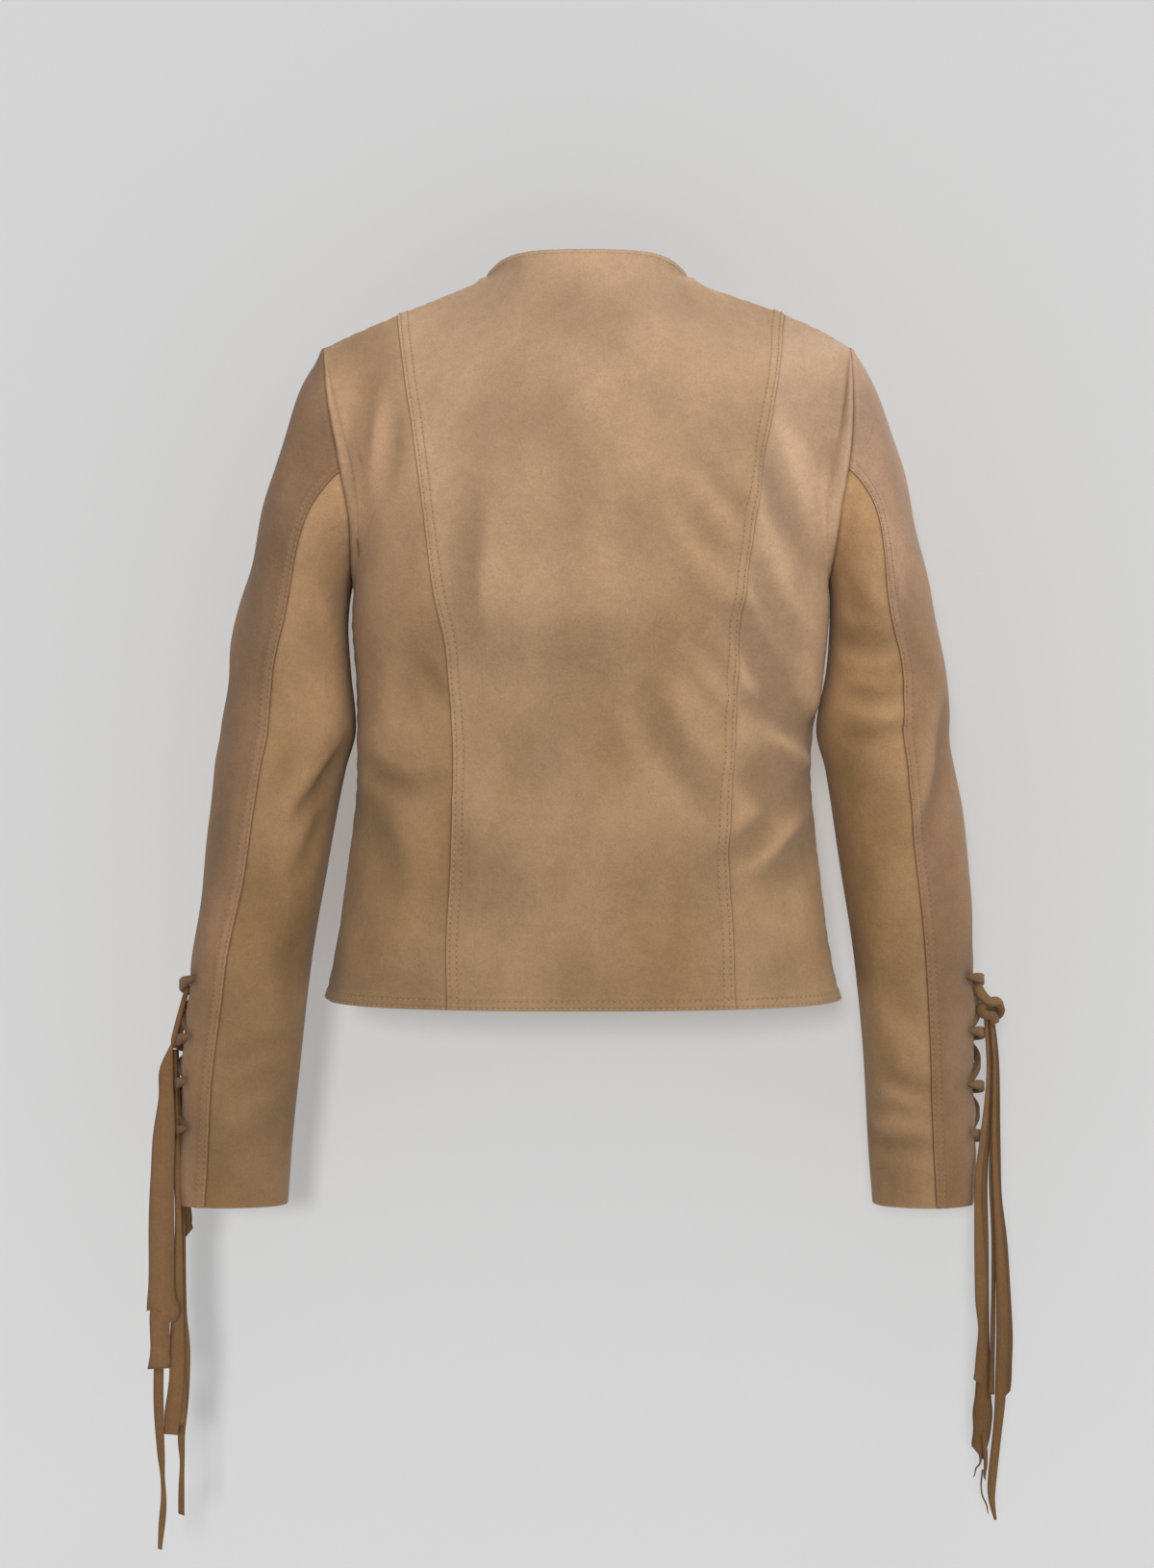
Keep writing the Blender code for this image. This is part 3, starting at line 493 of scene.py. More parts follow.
def spread(total, count, fine_start, fine_end):
    """Distances from 0 to total: fine steps beside a seam and even ones between."""
    edge = np.array(EDGE_STEPS) * min(1.0, total / (2.6 * EDGE_STEPS[-1]))
    start = edge if fine_start else edge[:1]
    end = total - edge[::-1] if fine_end else np.array([total])
    middle = np.linspace(start[-1], end[0], count + 1)[1:-1]
    return np.concatenate([start, middle, end])


def rows_over(low, high, fine_start, fine_end):
    """Rows of a surface whose two halves are about low and high millimetres long."""
    first = spread(low, round(low / PITCH), fine_start, False) / low
    second = spread(high, round(high / PITCH), False, fine_end) / high
    return np.concatenate([first, 1 + second[1:]])


def columns_over(surface, stops, rows, fine):
    """Columns for each row between pairs of stops, spaced by length on the surface."""
    columns = [stops[0][:, None]]
    for start, end, (fine_start, fine_end) in zip(stops, stops[1:], fine):
        at = start[:, None] + (end - start)[:, None] * np.linspace(0, 1, DENSE)
        step = length_of(np.diff(surface(at, rows[:, None] + 0 * at), axis=1))[..., 0]
        far = np.concatenate([np.zeros((len(rows), 1)), np.cumsum(step, axis=1)], axis=1)
        count = max(1, round(float(np.median(far[:, -1])) / PITCH))
        placed = [
            np.interp(spread(length[-1], count, fine_start, fine_end), length, place)
            for place, length in zip(at, far)
        ]
        columns.append(np.array(placed)[:, 1:])
    return np.concatenate(columns, axis=1)


print("finest step", EDGE_STEPS[1], "mm, ordinary step", PITCH, "mm")

# %% [markdown]
# ## Edges and seams
# Where two panels meet, one is turned under and sewn down with two rows of stitches, so it
# stands a little proud, and its fold is paler: partly rubbed, partly a painted highlight. The
# other one dips below it, and painted shade darkens the dip to a line. Plain seams roll down on
# both sides, with painted shade in the seam line. Each kind of edge is a height and a tone that
# depend on the distance from the seam, and a slight pucker that runs along it. All kinds are
# given stitch rows, but only a turned edge has any.

# %% Heights and tones beside an edge
FOLD_RAISE = 0.85
STITCH_SINK = 0.30
SEAM_ROWS = (3.0, 8.4)
ARM_SEAM_ROWS = (2.4, 7.4)
HEM_ROWS = (2.0, 7.2)
NECK_ROWS = (1.4, 4.8)


def distance_to(line, points):
    """The distance from each point to a line of points, and how far along the line that is."""
    start, step = line[:-1], np.diff(line, axis=0)
    long = np.maximum((step**2).sum(axis=1), 1e-9)
    done = np.concatenate([[0], np.cumsum(np.sqrt(long))])
    flat = points.reshape(-1, 3)
    nearest, along = np.full(len(flat), np.inf), np.zeros(len(flat))
    for k in range(len(start)):
        t = np.clip(((flat - start[k]) @ step[k]) / long[k], 0, 1)
        away = ((flat - start[k] - t[:, None] * step[k]) ** 2).sum(axis=1)
        closer = away < nearest
        nearest = np.where(closer, away, nearest)
        along = np.where(closer, done[k] + t * math.sqrt(long[k]), along)
    return np.sqrt(nearest).reshape(points.shape[:-1]), along.reshape(points.shape[:-1])


def pucker(apart, along, height):
    """Small waves that the sewing draws up along a seam."""
    return height * bell(apart / 8.0) * np.sin(along / 2.3 + 1.4 * np.sin(along / 8.6))


def turned(apart, along, rows):
    """A turned edge, sewn down along its rows."""
    last = rows[-1]
    height = FOLD_RAISE * (1 - np.exp(-apart / 0.3)) * smoothstep(last + 3.2, last + 0.6, apart)
    sunk = sum(bell((apart - row) / 0.62) for row in rows)
    inside = bell((apart - last / 2) / (0.42 * last))
    # tone: a paler band on the fold, partly rubbed and partly a painted highlight; painted shade at the
    # very edge and in the stitch grooves; a little painted light on the cloth between the rows
    tone = 0.45 * bell((apart - 0.7) / 0.5) - 0.7 * bell(apart / 0.22) - 0.20 * sunk + 0.14 * inside
    return height - STITCH_SINK * sunk + pucker(apart, along, 0.12), tone


def covered(apart, along, rows):
    """The panel that runs under a turned edge, with painted shade in its dip."""
    height = -0.55 * np.exp(-apart / 1.3)
    return height + pucker(apart, along, 0.16), -0.8 * np.exp(-((apart / 0.9) ** 1.3))


def plain(apart, along, rows):
    """One side of a plain seam, with painted shade in the seam line and a faint painted highlight on
    the roll beside it.
    """
    height = -0.85 * np.exp(-((apart / 1.25) ** 1.5)) + 0.30 * bell((apart - 3.2) / 2.2)
    tone = -0.75 * np.exp(-((apart / 0.7) ** 1.4)) + 0.12 * bell((apart - 2.6) / 1.6)
    return height + pucker(apart, along, 0.30), tone


def cut(apart, along, rows):
    """A cut edge, rounded over, with a paler band along it: partly rubbed, partly a painted highlight
    on the round.
    """
    tone = 0.30 * bell((apart - 0.8) / 0.8)
    return -0.40 * np.exp(-apart / 0.5) + 0.10 * np.sin(along / 5.1) * bell(apart / 6.0), tone


KINDS = {"turned": turned, "covered": covered, "plain": plain, "cut": cut}
print("kinds of edge:", ", ".join(KINDS))

# %% [markdown]
# ## Folds
# Suede is thick and soft, so it makes few folds, and they are wide and shallow. Each one here
# is placed where the photograph shows it, as a bowed line with a trough or a ridge
# across it. The hidden front has folds of the same kind. Below them lies a faint unevenness,
# a sum of slow waves that runs through all panels alike, so that seams stay closed.

# %% Folds of the body and sleeves
# face, start x, start z, end x, end z, bow, half width, height
BODY_FOLDS = (
    (BACK, -159, -82, -171, -168, 2, 7, -2.2),
    (BACK, -153, -102, -156, -172, 2, 7, 1.4),
    (BACK, -138, -117, -145, -159, 2, 7, -1.2),
    (BACK, -85, -170, -88, -275, 0, 12, -2.4),
    (BACK, -71, -176, -74, -258, 0, 6, 0.9),
    (BACK, -16, -104, -17, -258, 3, 14, -1.2),
    (BACK, -147, -350, -120, -334, -3, 15, 2.2),
    (BACK, -159, -360, -134, -380, -4, 7, -2.0),
    (BACK, -133, -380, -102, -374, -4, 8, -1.6),
    (BACK, -124, -291, -102, -322, 2, 6, -1.2),
    (BACK, -164, -394, -143, -452, 3, 11, -2.6),
    (BACK, -128, -402, -114, -440, 2, 13, 1.6),
    (BACK, -94, -388, -94, -453, 0, 8, -1.2),
    (BACK, -164, -255, -160, -339, 2, 9, -1.4),
    (BACK, -158, -458, -172, -514, 2, 14, -1.0),
    (BACK, 80, -141, 116, -183, -3, 7, -1.3),
    (BACK, 82, -161, 115, -204, -3, 7, 1.3),
    (BACK, 67, -175, 100, -220, -3, 8, -1.4),
    (BACK, 68, -198, 108, -247, -3, 8, 1.3),
    (BACK, 61, -223, 96, -264, -3, 10, -1.2),
    (BACK, 66, -275, 104, -325, -3, 8, 1.5),
    (BACK, 73, -299, 106, -334, -2, 6, -1.5),
    (BACK, 67, -316, 100, -364, -2, 7, 1.2),
    (BACK, 44, -318, 97, -396, -6, 13, -3.4),
    (BACK, 31, -326, 61, -388, -4, 10, 0.8),
    (BACK, 142, -118, 174, -193, -3, 9, 2.8),
    (BACK, 131, -139, 161, -217, -3, 8, -3.0),
    (BACK, 169, -120, 185, -159, -2, 8, -2.2),
    (BACK, 121, -174, 147, -253, -2, 7, 1.6),
    (BACK, 126, -225, 154, -280, -2, 8, -2.8),
    (BACK, 117, -242, 140, -290, -2, 5, 1.6),
    (BACK, 115, -260, 152, -320, -3, 11, -4.4),
    (BACK, 109, -291, 137, -331, -3, 6, 1.7),
    (BACK, 124, -322, 165, -343, 3, 10, -5.4),
    (BACK, 118, -329, 160, -362, 3, 6, 1.6),
    (BACK, 112, -373, 165, -388, 3, 14, -5.0),
    (BACK, 108, -440, 163, -394, -4, 8, 2.8),
    (BACK, 106, -428, 131, -410, -2, 9, -2.8),
    (BACK, 134, -452, 167, -410, -3, 10, -2.8),
    (BACK, 109, -467, 139, -440, -2, 12, 1.2),
    (BACK, 143, -514, 176, -490, -3, 14, -1.0),
    (BACK, 126, -240, 150, -385, -2, 25, -3.2),
    (FRONT, -60, -150, -100, -205, 4, 14, -2.4),
    (FRONT, 66, -158, 112, -200, -4, 14, -2.6),
    (FRONT, -150, -300, -96, -352, 6, 13, -3.0),
    (FRONT, 152, -318, 88, -366, -6, 12, -2.8),
    (FRONT, -120, -392, -58, -420, 5, 14, 2.2),
    (FRONT, 70, -430, 128, -398, 5, 14, 2.2),
    (FRONT, -142, -120, -160, -185, -3, 8, -2.6),
    (FRONT, 140, -118, 162, -180, 3, 8, -2.8),
    (FRONT, -40, -330, -34, -460, 6, 15, -1.6),
    (FRONT, 42, -300, 34, -420, -5, 15, -1.6),
    (FRONT, -158, -350, -120, -372, 3, 9, 2.2),
    (FRONT, 156, -362, 118, -392, -3, 9, 2.0),
)
# hand, start turn, start z, end turn, end z, bow, half width, height
SLEEVE_FOLDS = (
    (-1, 0.44, -348, 0.34, -397, 3, 7, -3.0),
    (-1, 0.35, -343, 0.29, -395, 3, 9, 2.0),
    (-1, 0.33, -245, 0.39, -271, 2, 10, 1.4),
    (-1, 0.42, -378, 0.35, -441, 3, 8, -1.8),
    (-1, 0.28, -409, 0.32, -437, 2, 10, 1.0),
    (-1, 0.22, -581, 0.39, -567, 2, 7, -1.0),
    (-1, 0.24, -626, 0.39, -605, 3, 9, 1.0),
    (-1, 0.23, -654, 0.41, -633, 3, 9, -1.0),
    (-1, 0.04, -297, 0.08, -437, 3, 12, -1.0),
    (-1, 0.27, -126, 0.36, -166, 2, 6, -1.2),
    (-1, 0.23, -136, 0.32, -178, 2, 7, 1.2),
    (-1, 0.84, -350, 0.66, -392, 3, 9, -3.0),
    (-1, 0.88, -330, 0.70, -360, 3, 8, 2.2),
    (-1, 0.90, -470, 0.72, -505, 3, 11, -2.0),
    (-1, 0.86, -600, 0.70, -640, 3, 12, -1.6),
    (-1, 0.82, -230, 0.74, -275, 3, 10, -1.6),
    (1, 0.33, -227, 0.25, -255, 3, 12, 2.0),
    (1, 0.44, -266, 0.28, -278, 3, 8, -2.4),
    (1, 0.31, -290, 0.23, -283, 2, 7, 1.8),
    (1, 0.37, -313, 0.23, -313, 2, 6, -1.8),
    (1, 0.33, -327, 0.22, -327, 2, 6, 1.2),
    (1, 0.35, -343, 0.23, -339, 2, 6, -1.8),
    (1, 0.38, -360, 0.26, -367, 3, 10, 0.8),
    (1, 0.08, -327, 0.20, -418, -3, 7, -2.6),
    (1, 0.13, -322, 0.22, -402, -3, 6, 1.6),
    (1, 0.21, -227, 0.18, -248, 1, 6, 1.4),
    (1, 0.18, -255, 0.14, -297, 2, 7, -1.4),
    (1, 0.15, -423, 0.15, -472, 2, 12, -1.2),
    (1, 0.38, -542, 0.27, -574, 3, 11, 1.8),
    (1, 0.39, -585, 0.25, -605, 2, 7, -1.6),
    (1, 0.44, -623, 0.28, -630, 2, 7, 1.6),
    (1, 0.47, -637, 0.25, -647, 2, 7, -2.0),
    (1, 0.46, -598, 0.29, -612, 2, 7, 1.0),
    (1, 0.84, -340, 0.68, -384, 3, 9, -3.0),
    (1, 0.88, -318, 0.72, -350, 3, 8, 2.2),
    (1, 0.90, -482, 0.74, -520, 3, 11, -2.0),
    (1, 0.84, -610, 0.70, -648, 3, 12, -1.6),
    (1, 0.80, -222, 0.73, -270, 3, 10, -1.6),
)
ARM_AROUND = 2 * math.pi * 48.0
FOLD_GAIN, FOLD_LIMIT = 1.45, 4.8
# how strongly fold troughs get painted shade and fold ridges a painted highlight
FOLD_PAINTED_SHADING = 0.125


def crease(px, pz, dx, dz, bow, half, height):
    """One fold from the origin to dx, dz: a trough or a ridge with a low counter-wave beside."""
    long = math.hypot(dx, dz)
    along = (px * dx + pz * dz) / long**2
    inside = np.clip(along, 0, 1)
    away = (pz * dx - px * dz) / long - 4 * bow * inside * (1 - inside)
    beyond = np.abs(along - inside) * long
    fade = bell(beyond / (1.2 * half)) * (0.55 + 0.45 * np.sin(math.pi * inside))
    across = bell(away / half) - 0.30 * bell((np.abs(away) - 1.9 * half) / (0.8 * half))
    return height * across * fade


WAVES = np.random.default_rng(7)
WAVE_DIRECTIONS = unit(WAVES.normal(size=(14, 3)))
WAVE_LENGTHS = WAVES.uniform(38, 110, 14)
WAVE_PHASES = WAVES.uniform(0, 2 * math.pi, 14)
WAVE_STEEPNESS = 0.004


def unevenness(points):
    """Slow waves through space, higher where they are longer."""
    total = np.zeros(points.shape[:-1])
    for direction, length, phase in zip(WAVE_DIRECTIONS, WAVE_LENGTHS, WAVE_PHASES):
        turn = points @ direction * 2 * math.pi / length + phase
        total += WAVE_STEEPNESS * length * np.sin(turn)
    return total


def body_folds(face, points):
    total = np.zeros(points.shape[:-1])
    for where, x0, z0, x1, z1, bow, half, height in BODY_FOLDS:
        if where == face:
            total += crease(
                points[..., 0] - x0, points[..., 2] - z0, x1 - x0, z1 - z0, bow, half, height
            )
    return total


def sleeve_folds(hand, turns, points):
    total = np.zeros(points.shape[:-1])
    for where, t0, z0, t1, z1, bow, half, height in SLEEVE_FOLDS:
        if where == hand:
            off = ((turns - t0 + 0.5) % 1.0 - 0.5) * ARM_AROUND
            total += crease(
                off, points[..., 2] - z0, (t1 - t0) * ARM_AROUND, z1 - z0, bow, half, height
            )
    return total


def softened(lift):
    """Folds that cross add up, but never beyond what the cloth can take."""
    return FOLD_LIMIT * np.tanh(FOLD_GAIN * lift / FOLD_LIMIT)


def painted_fold_shading(folds):
    """Painted shade in the troughs and a painted highlight on the ridges, beyond what their slopes
    alone make.
    """
    return np.clip(FOLD_PAINTED_SHADING * folds, -0.62, 0.34)


print(len(BODY_FOLDS), "folds in the body,", len(SLEEVE_FOLDS), "in the sleeves")

# %% [markdown]
# ## Suede
# Suede is the raised flesh side of the skin. It scatters light in all directions, takes a soft
# pale rim where it curves away, and its colour drifts between pink, tan and olive, because
# the skin took the dye unevenly and the nap lies in patches. So the colour is built from slow
# noise, the handling marks from finer noise, and the nap from a very fine bump. Light from high
# on the right is painted in as well: each piece grows paler towards the top, its brightness
# changes from cuff to shoulder, and the right pieces are lighter than the left, partly from the
# skin itself. A tone value stored on each point paints shade into seams, stitch grooves, fold
# troughs, strap edges and round the lace holes, and paints light on fold ridges, lace tabs and
# raised edges, which are also rubbed. A material is a tree of nodes, so the first cell holds
# short words for the nodes that come back most often.

# %% Short words for nodes
RANGE_SOCKETS = ("From Min", "From Max", "To Min", "To Max")


def fill(tree, node, inputs):
    """Link or fill in the inputs of a node, each named or numbered."""
    for socket, value in inputs.items():
        if isinstance(value, bpy.types.NodeSocket):
            tree.links.new(value, node.inputs[socket])
        else:
            node.inputs[socket].default_value = value
    return node


def put(tree, kind, inputs=None, **settings):
    """A new node. Its settings are made first, because some of them change its inputs."""
    node = tree.nodes.new(kind)
    for name, value in settings.items():
        setattr(node, name, value)
    return fill(tree, node, inputs or {})


def noise(tree, vector, scale, detail, roughness, seed):
    """Noise with a seed of its own: the fourth dimension, W, moves through unlike patterns."""
    inputs = {"Vector": vector, "W": seed, "Scale": scale, "Detail": detail, "Roughness": roughness}
    return put(tree, "ShaderNodeTexNoise", inputs, noise_dimensions="4D").outputs["Fac"]


def ranged(tree, value, low, high, to_low=0.0, to_high=1.0, way="SMOOTHSTEP"):
    inputs = dict(zip(RANGE_SOCKETS, (low, high, to_low, to_high)), Value=value)
    return put(tree, "ShaderNodeMapRange", inputs, interpolation_type=way).outputs["Result"]


def blended(tree, factor, first, second):
    """One colour mixed into another, each a socket or three numbers."""
    first, second = (c if isinstance(c, bpy.types.NodeSocket) else (*c, 1) for c in (first, second))
    return put(tree, "ShaderNodeMix", {0: factor, 6: first, 7: second}, data_type="RGBA").outputs[2]


def times(tree, first, second):
    return put(tree, "ShaderNodeMath", {0: first, 1: second}, operation="MULTIPLY").outputs[0]


def scaled(tree, vector, by):
    """A colour or a direction, made stronger or weaker as a whole."""
    return put(tree, "ShaderNodeVectorMath", {0: vector, "Scale": by}, operation="SCALE").outputs[0]


def toned(colour, by):
    return tuple(round(c * k, 4) for c, k in zip(colour, by))


print("a range is set by", ", ".join(RANGE_SOCKETS))

# %% Suede
# a smaller number draws the mottling out along that axis, here down the jacket
DRAWN_OUT = (1.0, 1.0, 0.42)
DRAWN_LAYERS = ("slow", "middle", "vein")
# scale, detail, roughness and shift of the seed for each layer of noise
LAYERS = {
    "slow": (9.0, 2.0, 0.5, 0.0),
    "middle": (26.0, 4.0, 0.6, 3.0),
    "vein": (19.0, 1.0, 0.4, 6.0),
    "patch": (85.0, 4.0, 0.65, 5.0),
    "fleck": (620.0, 2.0, 0.7, 8.0),
    "grain": (1500.0, 2.0, 0.7, 9.0),
}
VEIN_HALF = 0.0022
SHEEN = {"Sheen Weight": 0.10, "Sheen Roughness": 0.55, "Sheen Tint": (1.0, 0.90, 0.80, 1)}
DULLNESS = {"Specular IOR Level": 0.12}


def suede(name, pink, tan, olive, seed, low, high, pale):
    """Three tones of one skin, mottled and marked. low and high fade it from cuff to shoulder, as
    painted light and shade from high on the right.
    """
    material = bpy.data.materials.new(name)
    material.use_nodes = True
    tree = material.node_tree
    place = put(tree, "ShaderNodeTexCoord").outputs["Object"]
    drawn = put(tree, "ShaderNodeVectorMath", {0: place, 1: DRAWN_OUT}, operation="MULTIPLY")
    layer = {}
    for key, (scale, detail, roughness, shift) in LAYERS.items():
        vector = drawn.outputs[0] if key in DRAWN_LAYERS else place
        layer[key] = noise(tree, vector, scale, detail, roughness, seed + shift)
    height = put(tree, "ShaderNodeSeparateXYZ", {0: place}).outputs["Z"]
    colour = blended(tree, ranged(tree, layer["slow"], 0.40, 0.62), pink, tan)
    colour = blended(tree, ranged(tree, layer["middle"], 0.48, 0.80, 0.0, 0.50), colour, olive)
    # painted light from above: the colour turns paler towards the top
    paler = ranged(tree, height, -0.45, 0.02, 0.0, 0.75)
    colour = blended(tree, paler, colour, toned(pink, pale))
    line = {0: layer["vein"], 1: 0.5, 2: VEIN_HALF}
    on_vein = put(tree, "ShaderNodeMath", line, operation="COMPARE").outputs[0]
    scar = times(tree, on_vein, ranged(tree, layer["patch"], 0.48, 0.60))
    # the stored tone: painted shade and painted light from seams, folds, lace holes and straps, with
    # some rubbing on raised edges
    tone = put(tree, "ShaderNodeAttribute", attribute_name="tone").outputs["Fac"]
    shade = ranged(tree, layer["patch"], 0.25, 0.75, 0.93, 1.06)
    for factor in (
        ranged(tree, layer["fleck"], 0.20, 0.80, 0.88, 1.11),
        # brightness set from cuff to shoulder: painted light and shade from high on the right
        ranged(tree, height, -0.58, -0.02, low, high),
        ranged(tree, scar, 0.0, 1.0, 1.0, 0.90),
        ranged(tree, tone, -1.0, 1.0, 0.50, 1.50, "LINEAR"),
    ):
        shade = times(tree, shade, factor)
    nap = {"Strength": 0.55, "Distance": 0.0006, "Height": layer["grain"]}
    nap = put(tree, "ShaderNodeBump", nap).outputs[0]
    marks = {"Strength": 0.45, "Distance": 0.0022, "Height": layer["patch"], "Normal": nap}
    finish = {
        "Base Color": scaled(tree, colour, shade),
        "Roughness": ranged(tree, layer["middle"], 0.3, 0.7, 0.86, 0.98),
        "Normal": put(tree, "ShaderNodeBump", marks).outputs[0],
    }
    fill(tree, tree.nodes["Principled BSDF"], {**finish, **DULLNESS, **SHEEN})
    return material


PINK, TAN, OLIVE = (0.440, 0.275, 0.150), (0.385, 0.234, 0.112), (0.330, 0.207, 0.084)

# the right pieces are lighter than the left ones: partly painted light from high on the right, partly
# the skin's own colour
# name, shares of red, green and blue, seed, painted light and shade from cuff to shoulder, shares where
# the painted light makes it palest
SKINS = (
    ("centre", (1.0, 1.0, 1.01), 1.0, 0.62, 0.95, (1.0, 1.04, 1.20)),
    ("side_left", (0.88, 0.86, 0.86), 4.0, 0.69, 0.99, (1.0, 1.02, 1.12)),
    ("side_right", (0.88, 0.88, 0.90), 5.0, 0.79, 1.22, (1.0, 1.10, 1.36)),
    ("sleeve_left", (0.76, 0.70, 0.70), 7.0, 0.77, 0.60, (1.0, 1.02, 1.14)),
    ("sleeve_right", (0.78, 0.73, 0.76), 8.0, 0.67, 1.20, (1.02, 1.16, 1.50)),
    ("under_left", (0.80, 0.76, 0.69), 11.0, 0.68, 1.08, (1.0, 1.02, 1.10)),
    ("under_right", (0.86, 0.82, 0.75), 12.0, 0.74, 1.16, (1.0, 1.02, 1.10)),
    ("reverse", (0.50, 0.46, 0.42), 15.0, 0.80, 0.90, (1.0, 1.0, 1.0)),
    ("fringe", (0.42, 0.36, 0.305), 19.0, 1.0, 1.0, (1.0, 1.0, 1.0)),
)
SUEDES = {
    name: suede("suede_" + name, *(toned(c, by) for c in (PINK, TAN, OLIVE)), seed, low, high, pale)
    for name, by, seed, low, high, pale in SKINS
}
print("materials:", ", ".join(SUEDES))

# %% [markdown]
# ## From a grid to a closed piece
# A cut piece has a right side, a reverse and a rim. The grid gives the right side, the same
# grid moved inwards by the thickness of the suede gives the reverse, and a strip of faces all
# round closes it. Blender's Solidify would do nearly the same, but the seams need their edge to
# lean the same way on both panels, so the wall is made from shared directions here.

# %% Build and link meshes


def link(name, mesh):
    piece = bpy.data.objects.new(name, mesh)
    bpy.context.scene.collection.objects.link(piece)
    return piece


def store(mesh, name, values):
    """Keep one number for each point of a mesh, for its material to read."""
    layer = mesh.attributes.new(name, "FLOAT", "POINT")
    layer.data.foreach_set("value", np.asarray(values, np.float32).ravel())


def wall_faces(rows, columns, flip, hole):
    """Faces of both sides and the rim of a wall on a grid."""
    first = (np.arange(rows - 1)[:, None] * columns + np.arange(columns - 1)).ravel()
    faces = np.stack([first, first + 1, first + columns + 1, first + columns], axis=1)
    if hole is not None:
        faces = faces[~hole.ravel()]
    if flip:
        faces = faces[:, ::-1]
    behind = rows * columns
    start, end = faces.ravel(), np.roll(faces, -1, axis=1).ravel()
    key = np.minimum(start, end) * behind + np.maximum(start, end)
    _, index, count = np.unique(key, return_index=True, return_counts=True)
    a, b = start[index[count == 1]], end[index[count == 1]]
    rim = np.stack([b, a, a + behind, b + behind], axis=1)
    return np.concatenate([faces, faces[:, ::-1] + behind, rim]), len(faces)


def shell(name, outer, inner, flip, looks, tone, hole=None):
    rows, columns = outer.shape[:2]
    faces, one_side = wall_faces(rows, columns, flip, hole)
    points = np.concatenate([outer.reshape(-1, 3), inner.reshape(-1, 3)]) * MM
    used, where = np.unique(faces, return_inverse=True)
    mesh = bpy.data.meshes.new(name)
    mesh.from_pydata(points[used].tolist(), [], where.reshape(faces.shape).tolist())
    for look in looks:
        mesh.materials.append(SUEDES[look])
    side = np.zeros(len(faces), np.int32)
    side[one_side : 2 * one_side] = 1
    mesh.polygons.foreach_set("material_index", side)
    mesh.shade_smooth()
    store(mesh, "tone", np.concatenate([tone.ravel(), 0 * tone.ravel()])[used])
    return link(name, mesh)


print("walls are", WALL, "mm thick")

# %% One panel with its edges and folds
MADE = {}


def moved_in(normals, seam, apart):
    """Turn the directions near a seam towards those that both of its panels share."""
    share = bell(apart / 3.0)[..., None]
    return unit(normals * (1 - share) + seam * share)


def panel(name, base, normals, edges, lift, flip, look, hole=None, dark=0.0):
    """Raise the folds and edges of one panel, close it to a wall and say how large it is."""
    # dark holds painted shade from folds and lace holes, negative where a painted highlight lies; each
    # edge adds its own tone
    relief, tone = lift.copy(), -dark
    for where, kind, rows in edges:
        apart, along = distance_to(base[where], base)
        height, colour = KINDS[kind](apart, along, rows)
        relief += height
        tone += colour
    outer = base + normals * relief[..., None]
    inner = base + normals * (lift - WALL)[..., None]
    piece = shell(name, outer, inner, flip, (look, "reverse"), np.clip(tone, -1, 1), hole)
    MADE[name] = {"points": outer, "normals": normals, "piece": piece}
    width = length_of(np.diff(base, axis=1))[..., 0].sum(axis=1).max()
    high = length_of(np.diff(base, axis=0))[..., 0].sum(axis=0).max()
    sides = np.cross(base[1:, 1:] - base[:-1, :-1], base[1:, :-1] - base[:-1, 1:])
    area = length_of(sides).sum() / 2
    print(f"{name}: {width:.0f} x {high:.0f} mm, {area / 1e6:.4f} m2, {len(piece.data.polygons)} faces")
    return piece


SEAM_FIRST, SEAM_LAST = np.s_[:, 0], np.s_[:, -1]
HEM_LINE = np.s_[0]

# %% [markdown]
# ## The back and the fronts
# The centre back is one long piece whose side edges are turned and sewn down over the side
# backs. The side backs run under it, and meet the sleeves and the fronts in plain seams. The
# hem, the neck and the front edges are turned and sewn with two rows as well. The formulas
# leave a crease below the corners of the neck and of the shoulder, where the top edge changes
# its direction. Real suede bends softly there, so each point is moved along its own normal
# until the rows run smoothly, before any fold is laid on.

# %% Body panels
EVENING_ROUNDS, AVERAGING_ROUNDS = 45, 24
NECK_SPREAD, SHOULDER_SPREAD = 0.10, 0.15
# how far from a side seam and from the top edge the cloth lies calm, in millimetres
SEAM_CALM, TOP_CALM = 16, 30
BODY_ROWS = rows_over(340, 150, True, True)


def evened(points, normals, share):
    """Take creases out of a surface, moving each point along its own normal only."""
    out, share = normals[:, 1:-1], share[:, 1:-1, None]
    for _ in range(EVENING_ROUNDS):
        before, middle, after = points[:, :-2], points[:, 1:-1], points[:, 2:]
        near, far = length_of(middle - before), length_of(after - middle)
        flat = (before * far + after * near) / (near + far)
        rise = ((flat - middle) * out).sum(axis=-1, keepdims=True)
        points = np.concatenate([points[:, :1], middle + share * rise * out, points[:, -1:]], axis=1)
    return points


def averaged(normals):
    """Normals taken together with their neighbours along a row, so that they turn slowly."""
    for _ in range(AVERAGING_ROUNDS):
        beside = normals[:, :-2] + 2 * normals[:, 1:-1] + normals[:, 2:]
        normals = np.concatenate([normals[:, :1], unit(beside), normals[:, -1:]], axis=1)
    return normals


def grid_normals(points, like):
    """Normals taken from a grid of points, on the side where most of the ones given point."""
    normals = unit(np.cross(np.gradient(points, axis=1), np.gradient(points, axis=0)))
    return normals * np.sign(np.median((normals * like).sum(axis=-1)))


